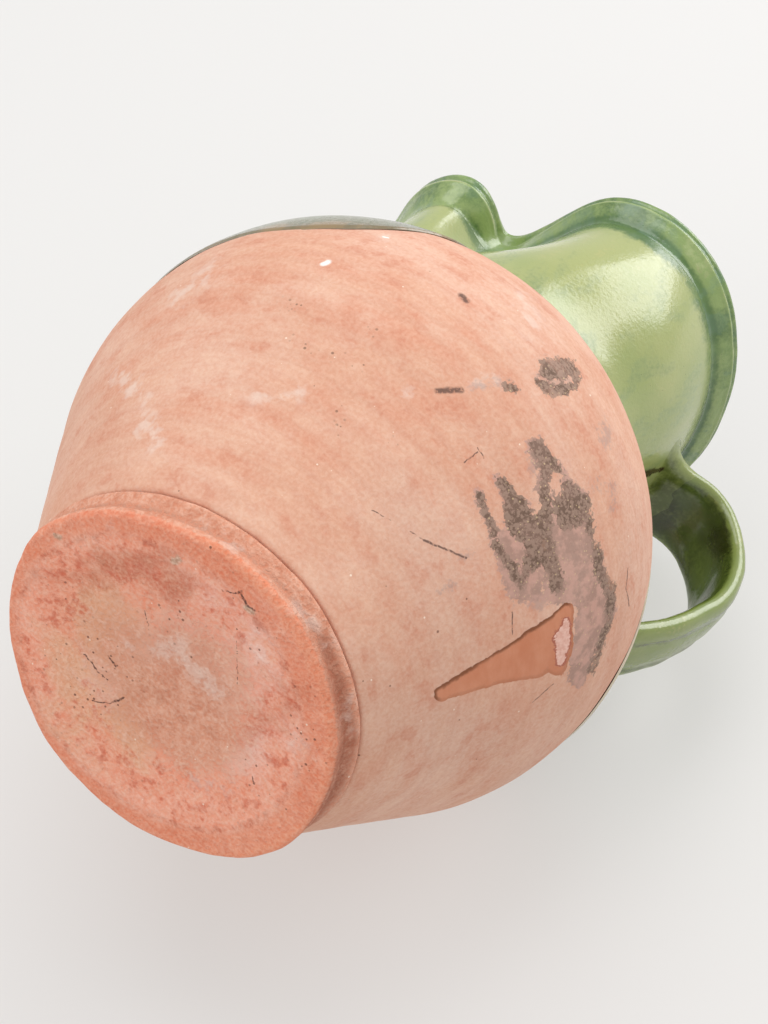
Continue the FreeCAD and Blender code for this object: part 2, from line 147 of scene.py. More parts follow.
def shell(name, rings, depths):
    """A skin through rings of points, with the depth of the glaze at each point."""
    rows, columns = len(rings) - 1, len(rings[0]) - 1
    deselect()
    bpy.ops.mesh.primitive_grid_add(x_subdivisions=columns, y_subdivisions=rows, size=2)
    piece = bpy.context.object
    piece.name = name
    glaze = []
    for vertex in piece.data.vertices:
        row, column = round((vertex.co.y + 1) / 2 * rows), round((vertex.co.x + 1) / 2 * columns)
        vertex.co = rings[row][column]
        glaze.append(depths[row][column])
    write_field(piece, "glaze_depth", glaze)
    close_up(piece)
    return piece


def mix(first, second, share):
    return first + (second - first) * share


def ease(low, high, value):
    """Smooth step from 0 at low to 1 at high."""
    share = min(1, max(0, (value - low) / (high - low)))
    return share * share * (3 - 2 * share)


def wobble(point, scale, seed=0.0):
    """Slow random wave of about -1 to 1 over the surface."""
    return noise.noise(Vector(point) / scale + Vector((seed, seed * 2, seed * 3)))


def profile_centres():
    shoulder_x = BELLY_RADIUS - SHOULDER_CURVE
    neck_x = NECK_RADIUS + NECK_CURVE
    reach = SHOULDER_CURVE + NECK_CURVE
    neck_z = BELLY_HEIGHT + math.sqrt(reach ** 2 - (neck_x - shoulder_x) ** 2)
    return (BELLY_RADIUS - FLANK_CURVE, BELLY_HEIGHT), (shoulder_x, BELLY_HEIGHT), (neck_x, neck_z)


def pot_side(offset, bottom, spacing):
    """Points of the pot's side, offset outwards, from a level near the foot up to the neck ring."""
    flank, shoulder, neck = profile_centres()
    away = Vector((BASE_RADIUS - flank[0], FOOT_TOP - flank[1]))
    slope = math.atan2(away.y, away.x) + math.acos(FLANK_CURVE / away.length)
    touch = Vector(flank) + Vector((math.cos(slope), math.sin(slope))) * (FLANK_CURVE + offset)
    along = Vector((math.sin(slope), -math.cos(slope)))
    start = touch + along * ((bottom - touch.y) / along.y)
    lean = math.atan2(neck[1] - shoulder[1], neck[0] - shoulder[0])
    count = max(2, round((touch - start).length / spacing))
    points = [tuple(start.lerp(touch, number / count)) for number in range(count)]
    runs = (
        (flank, FLANK_CURVE + offset, slope, 0),
        (shoulder, SHOULDER_CURVE + offset, 0, lean),
        (neck, NECK_CURVE - offset, math.pi + lean, math.pi),
    )
    for centre, radius, first, last in runs:
        count = max(2, round(abs(last - first) * radius / spacing))
        for angle in np.linspace(first, last, count, endpoint=False):
            points.append((centre[0] + radius * math.cos(angle), centre[1] + radius * math.sin(angle)))
    points.append((NECK_RADIUS + offset, neck[1]))
    return points


def natural_curve(knots, values, wanted):
    """Natural cubic curve through values at the knots."""
    knots, values = np.array(knots, float), np.array(values, float)
    count = len(knots)
    gap = np.diff(knots)
    matrix, right = np.eye(count), np.zeros(count)
    for i in range(1, count - 1):
        matrix[i, i - 1:i + 2] = gap[i - 1], 2 * (gap[i - 1] + gap[i]), gap[i]
        right[i] = 6 * ((values[i + 1] - values[i]) / gap[i] - (values[i] - values[i - 1]) / gap[i - 1])
    bend = np.linalg.solve(matrix, right)
    wanted = np.clip(np.atleast_1d(wanted), knots[0], knots[-1])
    i = np.clip(np.searchsorted(knots, wanted) - 1, 0, count - 2)
    a, b = (knots[i + 1] - wanted) / gap[i], (wanted - knots[i]) / gap[i]
    curved = ((a ** 3 - a) * bend[i] + (b ** 3 - b) * bend[i + 1]) * gap[i] ** 2 / 6
    return a * values[i] + b * values[i + 1] + curved


def mouth_loop(spread, pinch):
    """Corner points of the neck's plan: spread widens the round neck, pinch presses it to the mouth."""
    radius = mix(NECK_RADIUS, MOUTH_RADIUS, spread)
    half = []
    for share_x, share_y, degrees in MOUTH_PLAN_SHARES:
        ring = np.array((math.cos(math.radians(degrees)), math.sin(math.radians(degrees)))) * radius
        mouth = np.array((share_x, share_y)) * MOUTH_RADIUS
        half.append(ring + (mouth - ring) * pinch)
    half = np.array(half)
    other = (half * (1, -1))[1:-1]
    return np.vstack([half[:1], other, half[:0:-1]])


def plan_curve(spread, pinch, columns):
    """Even points of the closed plan from the spout's tip by way of -Y, with outward normals."""
    loop = mouth_loop(spread, pinch)
    count = len(loop)
    # three turns of the loop, so that the middle one closes smoothly
    wide = np.vstack([loop, loop, loop, loop[:1]])
    travel = np.r_[0, np.cumsum(np.linalg.norm(np.diff(wide, axis=0), axis=1))]
    wanted = np.linspace(travel[count], travel[2 * count], columns + 1)
    points = np.stack([natural_curve(travel, wide[:, axis], wanted) for axis in (0, 1)], 1)
    tangent = np.roll(points[:-1], -1, 0) - np.roll(points[:-1], 1, 0)
    tangent = np.vstack([tangent, tangent[:1]])
    tangent /= np.linalg.norm(tangent, axis=1)[:, None]
    normals = np.stack([tangent[:, 1], -tangent[:, 0]], 1)
    return points, normals


MOUTH_COLUMNS = 360
RIM_POINTS, RIM_NORMALS = plan_curve(1, 1, MOUTH_COLUMNS)


def neck_plan(rise):
    """Plan points and normals of the neck at a share of its height."""
    knots, spreads, pinches = zip(*NECK_SECTION_SHARES)
    spread, pinch = (float(natural_curve(knots, values, rise)[0]) for values in (spreads, pinches))
    return plan_curve(spread, pinch, MOUTH_COLUMNS)


def lofted(name, stations, depths):
    """Closed shell through rings: each station is (plan points, plan normals, stand-out, height)."""
    rings = []
    for points, normals, out, height in stations:
        flat = points + normals * np.reshape(out, (-1, 1))
        rings.append(np.c_[flat, np.broadcast_to(height, len(flat))])
    depths = [np.broadcast_to(depth, MOUTH_COLUMNS + 1) for depth in depths]
    return shell(name, rings + rings[:1], depths + depths[:1])


def roughen(piece, waves):
    """Hand-made unevenness: push each point along its normal by slow waves of (height, scale, seed)."""
    mesh = piece.data
    normals = [vertex.normal.copy() for vertex in mesh.vertices]
    for vertex, normal in zip(mesh.vertices, normals):
        push = sum(wobble(vertex.co, scale, seed) * height for height, scale, seed in waves)
        vertex.co += normal * push
    mesh.update()


def make_camera():
    deselect()
    bpy.ops.object.camera_add(location=CAMERA_PLACE)
    camera = bpy.context.object
    camera.name = "photo_camera"
    back = -PICTURE_RIGHT.cross(PICTURE_DOWN)
    turn = Matrix((PICTURE_RIGHT, -PICTURE_DOWN, back)).transposed()
    camera.matrix_world = Matrix.Translation(CAMERA_PLACE) @ turn.to_4x4()
    camera.data.sensor_width = SENSOR
    camera.data.lens = SENSOR * FOCAL_PIXELS / PICTURE_HEIGHT
    camera.data.clip_start = 1 * MM
    camera.data.clip_end = 20
    bpy.context.scene.camera = camera


def photo_pixels(points):
    """Where points of the jug lie in the 768 by 1024 picture."""
    away = np.asarray(points, float) - np.array(CAMERA_PLACE)
    forward = np.array(PICTURE_RIGHT.cross(PICTURE_DOWN))
    depth = away @ forward
    across = away @ np.array(PICTURE_RIGHT) / depth * FOCAL_PIXELS + PICTURE_WIDTH / 2
    down = away @ np.array(PICTURE_DOWN) / depth * FOCAL_PIXELS + PICTURE_HEIGHT / 2
    return np.stack([across, down], 1)


FOOT_SPREAD = 1.02
# radius and height in millimetres up the side of the foot, over the rounded lower edge
FOOT_BAND = (
    (50.0, 1.9), (50.1, 2.8), (49.7, 3.9), (49.6, 4.9), (50.2, 6.0), (50.9, 7.2), (51.4, 8.3), (51.4, 9.2),
    (50.9, 9.8), (50.2, 10.1),
)
# how much further out the foot's lower edge stands, in millimetres, by direction in degrees
FOOT_UNEVEN = (
    (0, -0.4), (18, 1.4), (36, 1.8), (57, 1.4), (74, 1.8), (93, 1.6), (104, 1.5), (122, 0.4), (138, -0.6),
    (162, 0.1), (178, 0.8), (190, 1.5), (201, 1.0), (218, 0.1), (232, -1.0), (246, -1.1), (253, -0.4),
    (262, 0.5), (277, 0.3), (288, 0.5), (297, -0.3), (317, -0.7), (328, -0.9), (340, -1.0), (352, -0.8),
    (360, -0.4),
)


def foot_outline():
    """Closed outline of the foot disc: dish, resting ring, rounded edge, band and the seat of the belly."""
    dish, depth = 41 * MM, 2.5 * MM
    curve = (dish ** 2 + depth ** 2) / (2 * depth)
    points = []
    for radius in np.arange(34) * dish / 34:
        points.append((radius, depth - curve + math.sqrt(curve ** 2 - radius ** 2)))
    ring_outer, edge = 48.1 * MM, 1.9 * MM
    points += [(mix(dish, ring_outer, number / 6), 0) for number in range(6)]
    for angle in np.radians(-90 + 90 * np.arange(8) / 8):
        points.append((ring_outer + edge * math.cos(angle), edge + edge * math.sin(angle)))
    points += [(x * MM, y * MM) for x, y in FOOT_BAND]
    points += [(46 * MM, FOOT_TOP), (0, FOOT_TOP)]
    return [(radius * FOOT_SPREAD, height) for radius, height in points]


def make_foot():
    piece = turned("foot_turned", foot_outline(), 300)
    for vertex in piece.data.vertices:
        turn = math.degrees(math.atan2(vertex.co.y, vertex.co.x)) % 360
        out = float(np.interp(turn, *zip(*FOOT_UNEVEN))) * MM * (1 - ease(0, 10 * MM, vertex.co.z))
        vertex.co.xy *= 1 + out / (50 * MM)
    roughen(piece, ((0.38 * MM, 22 * MM, 3.1), (0.20 * MM, 6 * MM, 8.7), (0.08 * MM, 2.6 * MM, 1.9)))
    smooth(piece, 50)
    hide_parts("foot_disc")
    return piece


def make_belly():
    """Thrown wall: fine rings on the outside, a rounded lower edge over the foot's groove."""
    outside = pot_side(0, FOOT_TOP, 1.15 * MM)
    edge = 1.6 * MM
    outline = [(BASE_RADIUS - 1.5 * edge, FOOT_TOP)]
    for angle in np.radians(-90 + 75 * np.arange(1, 5) / 4):
        radius = BASE_RADIUS - edge * 0.7 + edge * math.cos(angle)
        outline.append((radius, FOOT_TOP + edge + edge * math.sin(angle)))
    for radius, height in outside:
        if height > FOOT_TOP + 2 * edge:
            ripple = math.sin(height / (2.1 * MM)) + 0.6 * math.sin(height / (3.7 * MM) + 1)
            outline.append((radius + 0.045 * MM * ripple * ease(FOOT_TOP, 40 * MM, height), height))
    outline += pot_side(-WALL, FOOT_TOP, 9 * MM)[::-1]
    piece = turned("belly_thrown", outline, 400)
    roughen(piece, ((0.45 * MM, 45 * MM, 1.3), (0.10 * MM, 12 * MM, 5.9)))
    smooth(piece, 50)
    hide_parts("belly_wall")
    return piece


def make_lining():
    """Glaze that lines the floor and the inside of the belly."""
    outer = pot_side(-WALL + 0.05 * MM, FOOT_TOP, 5 * MM)
    inner = pot_side(-WALL - GLAZE, FOOT_TOP + GLAZE, 3 * MM)
    outline = [(0, FOOT_TOP + 0.05 * MM)] + outer + inner[::-1] + [(0, FOOT_TOP + GLAZE)]
    piece = turned("lining_poured", outline, 160)
    smooth(piece, 50)
    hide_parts("inner_glaze")
    return piece


def make_neck():
    height = LIP_BASE - RING_HEIGHT
    stations, depths = [], []
    outer_rows, inner_rows = 56, 24
    # glaze drawn deeper and darker just under the lip on the broad lobe: pooled glaze, where the jug dried
    # lying down, and painted shade under the roll
    pooled = np.array([0.42 + 0.40 * ease(0.55, 0.05, x / MOUTH_RADIUS) for x, _ in RIM_POINTS])
    stations.append((*neck_plan(0), -0.5 * MM, RING_HEIGHT - 1.2 * MM))
    depths.append(0.4)
    for rise in np.arange(outer_rows + 1) / outer_rows:
        stations.append((*neck_plan(rise), 0, RING_HEIGHT + height * rise))
        depths.append(0.40 + pooled * ease(0.87, 1.0, rise) + 0.22 * ease(0.25, 0.0, rise))
    for rise in 1 - np.arange(inner_rows + 1) / inner_rows:
        stations.append((*neck_plan(rise), -NECK_WALL, RING_HEIGHT + height * rise))
        depths.append(0.6)
    piece = lofted("neck_thrown", stations, depths)
    roughen(piece, ((0.05 * MM, 34 * MM, 2.4),))
    smooth(piece, 50)
    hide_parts("neck_collar")
    return piece


# Lip from the groove up, over the roll and down inside: share of the lip's height,
# stand-out in millimetres, and how deep the glaze lies there
LIP_PROFILE_SHARES = (
    (0.00, 0.0, 0.95), (0.07, 0.15, 1.00), (0.14, 0.6, 1.00), (0.22, 1.5, 0.90), (0.31, 2.6, 0.50),
    (0.40, 3.5, 0.25), (0.47, 4.2, 0.20), (0.52, 4.8, 0.25), (0.56, 5.05, 0.15), (0.60, 4.8, 0.50),
    (0.64, 4.5, 0.85), (0.70, 4.75, 0.75), (0.77, 5.2, 0.70), (0.84, 5.0, 0.66), (0.90, 4.3, 0.60),
    (0.955, 3.1, 0.42), (0.985, 1.9, 0.14), (1.00, 0.4, 0.20), (0.995, -1.0, 0.35), (0.965, -2.5, 0.45),
    (0.90, -3.8, 0.50), (0.80, -4.7, 0.50), (0.62, -5.3, 0.50), (0.35, -5.5, 0.50), (0.00, -5.5, 0.50),
)
# How deep the glaze lies on the roll: share of the mouth's radius along X, and depth
LIP_GREEN_SHARES = (
    (-1.00, 0.70), (-0.80, 0.65), (-0.59, 0.45), (-0.35, 0.35), (-0.12, 0.80), (0.00, 0.85), (0.15, 0.45),
    (0.28, 0.08), (0.45, 0.35), (0.69, 0.75), (0.80, 0.62), (1.00, 0.52),
)
SPOUT_LIP_DROP = 6.4 * MM
SPOUT_LIP_FLARE = 0.8 * MM


def make_lip():
    """Rolled lip, deeper and more flared at the spout than round the rest of the mouth."""
    height = LIP_TOP - LIP_BASE
    shares = np.array(LIP_PROFILE_SHARES)
    travel = np.r_[0, np.cumsum(np.hypot(np.diff(shares[:, 0] * height / MM), np.diff(shares[:, 1])))]
    wanted = np.linspace(0, travel[-1], 80)
    levels = natural_curve(travel, shares[:, 0], wanted)
    outs = natural_curve(travel, shares[:, 1], wanted)
    depths = np.interp(wanted, travel, shares[:, 2])
    spout = np.array([ease(-0.62 * MOUTH_RADIUS, -0.98 * MOUTH_RADIUS, x) for x, _ in RIM_POINTS])
    # between spout and lobe the roll shrinks to a narrow rim
    pinch = np.exp(-((RIM_POINTS[:, 0] / MOUTH_RADIUS + 0.50) / 0.15) ** 2)
    face = shares[:18]
    low_rise = 0.9
    low_points = neck_plan(low_rise)[0]
    stations = []
    for level, out in zip(levels, outs):
        outside = ease(-1, 0.3, out)
        drop = SPOUT_LIP_DROP * spout * (1 - level) * outside
        heights = LIP_BASE + height * level - drop
        below = np.clip((LIP_BASE - heights) / (LIP_BASE - RING_HEIGHT), 0, 1) / (1 - low_rise)
        plan = RIM_POINTS + (low_points - RIM_POINTS) * below[:, None]
        narrow = 0.5 * np.interp(max(0, (level - 0.55) / 0.45), face[:, 0], face[:, 1]) if out > 0.4 else out
        stand = out + (narrow - out) * pinch
        flare = SPOUT_LIP_FLARE * spout * ease(0, 1, level)
        stations.append((plan, RIM_NORMALS, stand * MM + flare, heights))
    green = np.interp(RIM_POINTS[:, 0] / MOUTH_RADIUS, *zip(*LIP_GREEN_SHARES))
    calm = []
    for depth, level, out in zip(depths, levels, outs):
        if level < 0.54 and out > -0.5:
            depth = mix(depth * (1 - 0.5 * spout), green, ease(0.14, 0.32, level))
        calm.append(mix(depth, 0.45, 0.8 * pinch) if level < 0.8 else depth)
    piece = lofted("lip_rolled", stations, calm)
    roughen(piece, ((0.32 * MM, 20 * MM, 4.2), (0.12 * MM, 5 * MM, 7.7)))
    smooth(piece, 60)
    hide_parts("lip_roll")
    return piece


# Lower edge of the glaze seen from the side: place along X and height, in millimetres
GLAZE_EDGE = (
    (-99, 98), (-63, 99.2), (-47.7, 105), (-34.2, 122.4), (-19.8, 144.4), (-4.5, 154.8),
    (13.5, 156), (36, 153), (55.8, 145.5), (70.2, 131), (80, 118), (85.5, 107.5), (88.7, 99), (99, 96),
)
# How far above its edge the coat is full, its least share of full, and how far its back lies in the clay
COAT_EDGE = 2.2 * MM
COAT_THINNEST = 0.22
COAT_SINK = 0.8 * MM


def make_coat():
    """Glaze poured over the shoulder, thinning out at its wavy lower edge."""
    clay, face = pot_side(0, FOOT_TOP, 0.8 * MM), pot_side(GLAZE, FOOT_TOP, 0.8 * MM)
    clay, face = np.array(clay), np.array(face)
    columns, outer_rows, inner_rows = 360, 60, 12
    edge_x, edge_z = np.array(GLAZE_EDGE).T * MM
    edges = []
    for column in range(columns):
        angle = 2 * math.pi * column / columns
        low, high = 90 * MM, RING_HEIGHT
        for _ in range(24):
            middle = (low + high) / 2
            x = float(np.interp(middle, clay[:, 1], clay[:, 0])) * math.cos(angle)
            wanted = float(natural_curve(edge_x, edge_z, x)[0])
            low, high = (middle, high) if middle < wanted else (low, middle)
        ragged = wobble((math.cos(angle) * 90, math.sin(angle) * 90, low / MM), 9, 2.2) * 1.1 * MM
        edges.append(low + ragged)
    edges.append(edges[0])

    def coat_point(row, column):
        """A point of the coat, up its face and then down behind it, and how deep the glaze is there."""
        edge = edges[column]
        outside = row <= outer_rows
        height = mix(edge, RING_HEIGHT, (row / outer_rows) ** 1.4)
        if not outside:
            height = mix(RING_HEIGHT, edge, (row - outer_rows) / (inner_rows + 1))
        radius = float(np.interp(height, clay[:, 1], clay[:, 0]))
        above = height - edge
        depth = 0.3
        if outside:
            swell = ease(0, COAT_EDGE, above) * (1 - 0.8 * ease(RING_HEIGHT - 8 * MM, RING_HEIGHT, height))
            full = float(np.interp(height, face[:, 1], face[:, 0]))
            radius = mix(radius - 0.1 * MM, full, max(swell, COAT_THINNEST))
            run = ease(10 * MM, 34 * MM, above) + ease(RING_HEIGHT - 7 * MM, RING_HEIGHT, height)
            depth = 0.42 * ease(0, 9 * MM, above) + 0.5 * min(run, 1)
        else:
            radius -= COAT_SINK
        angle = 2 * math.pi * column / columns
        return (radius * math.cos(angle), radius * math.sin(angle), height), depth

    rows = list(range(outer_rows + inner_rows + 1)) + [0]
    grid = [[coat_point(row, column) for column in range(columns + 1)] for row in rows]
    rings = [[point for point, _ in line] for line in grid]
    piece = shell("coat_poured", rings, [[depth for _, depth in line] for line in grid])
    roughen(piece, ((0.10 * MM, 12 * MM, 5.9),))
    smooth(piece, 50)
    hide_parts("shoulder_glaze")
    return piece


HANDLE_STAND_OUT = 8.6 * MM
HANDLE_DROP = 16.3 * MM
HANDLE_BEND = 16.1 * MM
HANDLE_HIP_CURVE = 41.2 * MM
HANDLE_STRAIGHT = 7.5 * MM
HANDLE_RUN_IN = 17 * MM
HANDLE_TOP_WIDTH = 32 * MM
HANDLE_END_WIDTH = 24.5 * MM
HANDLE_THICKNESS = 8.2 * MM
HANDLE_RISE, HANDLE_BEND_ANGLE, HANDLE_TURN, HANDLE_SEAT = 17.5, -39.5, -105.5, 29.9


def along_direction(degrees):
    return Vector((math.cos(math.radians(degrees)), 0, math.sin(math.radians(degrees))))


def shoulder_point(degrees):
    shoulder = profile_centres()[1]
    return Vector((shoulder[0], 0, shoulder[1])) + along_direction(degrees) * SHOULDER_CURVE


def handle_path(spacing):
    """Points of the handle's centre line with the direction of travel in degrees at each."""
    run_end = Vector((MOUTH_RADIUS + HANDLE_STAND_OUT, 0, LIP_BASE - HANDLE_DROP))
    path = []

    def add_line(start, end, degrees):
        count = round((end - start).length / spacing)
        path.extend((start.lerp(end, number / count), degrees) for number in range(count))

    def add_arc(start, first, last, radius):
        centre = start - along_direction(first + 90) * radius
        steps = max(3, round(abs(math.radians(last - first) * radius) / spacing))
        for degrees in np.linspace(first, last, steps, endpoint=False):
            path.append((centre + along_direction(degrees + 90) * radius, degrees))
        return centre + along_direction(last + 90) * radius

    add_line(run_end - along_direction(HANDLE_RISE) * HANDLE_RUN_IN, run_end, HANDLE_RISE)
    bend_end = add_arc(run_end, HANDLE_RISE, HANDLE_BEND_ANGLE, HANDLE_BEND)
    hip_end = add_arc(bend_end, HANDLE_BEND_ANGLE, HANDLE_TURN, HANDLE_HIP_CURVE)
    straight_end = hip_end + along_direction(HANDLE_TURN) * HANDLE_STRAIGHT
    add_line(hip_end, straight_end, HANDLE_TURN)
    seat = shoulder_point(HANDLE_SEAT)
    chord = seat - straight_end
    chord_angle = math.degrees(math.atan2(chord.z, chord.x))
    finish = 2 * chord_angle - HANDLE_TURN
    curve = chord.length / (2 * math.sin(math.radians(HANDLE_TURN - chord_angle)))
    end = add_arc(straight_end, HANDLE_TURN, finish, curve)
    path.append((end, finish))
    return path


STRAP_COLUMNS = 96


def strap_ring(centre, degrees, width):
    """One ring of the strap: beaded edges, a hollow inner face and a groove beside each bead outside."""
    bead = HANDLE_THICKNESS / 2
    half = width / 2
    outwards = along_direction(degrees + 90)
    ring = []
    for column in range(STRAP_COLUMNS + 1):
        turn = 2 * math.pi * column / STRAP_COLUMNS
        c, s = math.cos(turn), math.sin(turn)
        # a superellipse gives flat faces with round edges
        across = math.copysign(abs(c) ** 0.62, c) * half
        up = math.copysign(abs(s) ** 0.85, s) * bead
        inner = ease(0, 1, 1 - abs(across) / (half - bead * 0.8))
        if up < 0:
            up += inner * 0.9 * MM
        else:
            groove = math.exp(-((abs(across) - (half - 1.6 * bead)) / (2.4 * MM)) ** 2)
            up -= groove * 0.5 * MM
        ring.append(centre + Vector((0, across, 0)) + outwards * up)
    return ring


def strap_rings(path):
    steps = [(second - first).length for (first, _), (second, _) in zip(path, path[1:])]
    travel = np.r_[0, np.cumsum(steps)]
    widths = mix(HANDLE_TOP_WIDTH, HANDLE_END_WIDTH, travel / travel[-1])
    return [strap_ring(centre, degrees, width) for (centre, degrees), width in zip(path, widths)]


def strap_depth(across):
    """Deep glaze on the hollow inner face, thin on the beads."""
    turn = 2 * math.pi * across
    side = abs(math.cos(turn)) ** 0.55
    bead = ease(0.82, 0.99, side)
    face = 0.95 if math.sin(turn) < 0 else 0.42 + 0.35 * math.exp(-((side - 0.62) / 0.1) ** 2)
    return mix(face, 0.40, bead)


STRAP_PATH = handle_path(1.2 * MM)
STRAP_RINGS = strap_rings(STRAP_PATH)
STRAP_DEPTHS = [strap_depth(column / STRAP_COLUMNS) for column in range(STRAP_COLUMNS + 1)]


def make_strap():
    start, end = ([centre] * (STRAP_COLUMNS + 1) for centre, _ in (STRAP_PATH[0], STRAP_PATH[-1]))
    rings = [start, *STRAP_RINGS, end]
    piece = shell("strap_pulled", rings, [STRAP_DEPTHS] * len(rings))
    roughen(piece, ((0.35 * MM, 14 * MM, 6.4), (0.12 * MM, 5 * MM, 3.4)))
    smooth(piece, 50)
    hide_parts("handle_strap")
    return piece


def neck_side_table():
    """Faces of the neck on the handle side: for each level, places across and the X of the face there."""
    table = []
    for number in range(41):
        points = neck_plan(number / 40)[0]
        near = points[(points[:, 0] > 0.3 * MOUTH_RADIUS) & (abs(points[:, 1]) < 34 * MM)]
        near = near[np.argsort(near[:, 1])]
        table.append((near[:, 1], near[:, 0]))
    return table


NECK_SIDE = neck_side_table()


def neck_face(point):
    """The neck's face level with a point on the handle side, and how far the point is outside it."""
    rise = min(39.999, max(0, (point.z - RING_HEIGHT) / (LIP_BASE - RING_HEIGHT) * 40))
    lower = int(rise)
    first, second = (float(np.interp(point.y, *NECK_SIDE[lower + step])) for step in (0, 1))
    x = mix(first, second, rise - lower)
    return Vector((x, point.y, point.z)), point.x - x


def shoulder_face(point):
    """The shoulder's nearest face to a point, and how far the point is outside it."""
    centre_radius, centre_height = profile_centres()[1]
    turn = math.atan2(point.y, point.x)
    away = Vector((math.hypot(point.x, point.y) - centre_radius, point.z - centre_height))
    near = away.normalized() * SHOULDER_CURVE
    radius = centre_radius + near.x
    face = Vector((radius * math.cos(turn), radius * math.sin(turn), centre_height + near.y))
    return face, away.length - SHOULDER_CURVE


# How far the two edges of the skirt go into the wall and the strap
LUTING_SINK = 0.28 * MM


def make_luting(name, node, rings, face_of, inwards, flare, climb):
    """Clay worked smooth round a root of the strap: a skirt tangent to the wall and to the strap.

    It spreads over the wall by flare and goes up the strap by climb.
    """
    bend_rows = 14
    columns, lines = [], []
    middle = Vector((0, 0, 0))
    for column in range(STRAP_COLUMNS):
        line = [ring[column] for ring in rings]
        number = next(i for i in range(len(line) - 1) if face_of(line[i + 1])[1] > 0)
        inside, outside = face_of(line[number])[1], face_of(line[number + 1])[1]
        crease = line[number].lerp(line[number + 1], -inside / (outside - inside))
        lines.append((line, number, crease))
        middle += crease / STRAP_COLUMNS
    wall_middle = face_of(middle)[0]
    for line, number, crease in lines:
        step = (line[number + 1] - line[number]).length
        top = line[min(len(line) - 1, number + max(2, round(climb / step)))]
        spread = (crease - wall_middle).normalized()
        stretch = flare * mix(1.5, 1.0, abs(spread.z))
        foot = face_of(crease + spread * stretch)[0]
        bend = []
        for row in range(bend_rows + 1):
            share = row / bend_rows
            point = foot.lerp(crease, share).lerp(crease.lerp(top, share), share)
            sink = LUTING_SINK * (2 * share - 1) ** 6
            heart = wall_middle if share < 0.5 else middle.lerp(top, 0.5)
            push = inwards if share < 0.5 else (heart - point).normalized()
            bend.append(point + push * sink)
        # back under the skin, inside the strap and the wall
        bend.append(top.lerp(middle + (top - crease), 0.3))
        bend.append(crease.lerp(middle, 0.3) + inwards * 1.5 * MM)
        bend.append(foot + inwards * 1.8 * MM)
        columns.append(bend)
    rings = list(zip(*columns, columns[0]))
    depths = []
    for row in range(len(rings)):
        share = min(1, row / bend_rows)
        pooled = 0.45 + 0.25 * math.sin(share * math.pi)
        depths.append([mix(pooled, max(0.4, depth), share) for depth in STRAP_DEPTHS])
    piece = shell(name, rings + rings[:1], depths + depths[:1])
    smooth(piece, 60)
    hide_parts(node)
    return piece


HALF_WAY = len(STRAP_RINGS) // 2


def make_upper_luting():
    return make_luting("luting_at_neck", "handle_luting_upper", STRAP_RINGS[:HALF_WAY], neck_face,
                       Vector((-1, 0, 0)), flare=6.5 * MM, climb=12 * MM)


def make_lower_luting():
    return make_luting("luting_at_shoulder", "handle_luting_lower", STRAP_RINGS[:HALF_WAY:-1], shoulder_face,
                       -along_direction(HANDLE_SEAT), flare=4.5 * MM, climb=6 * MM)
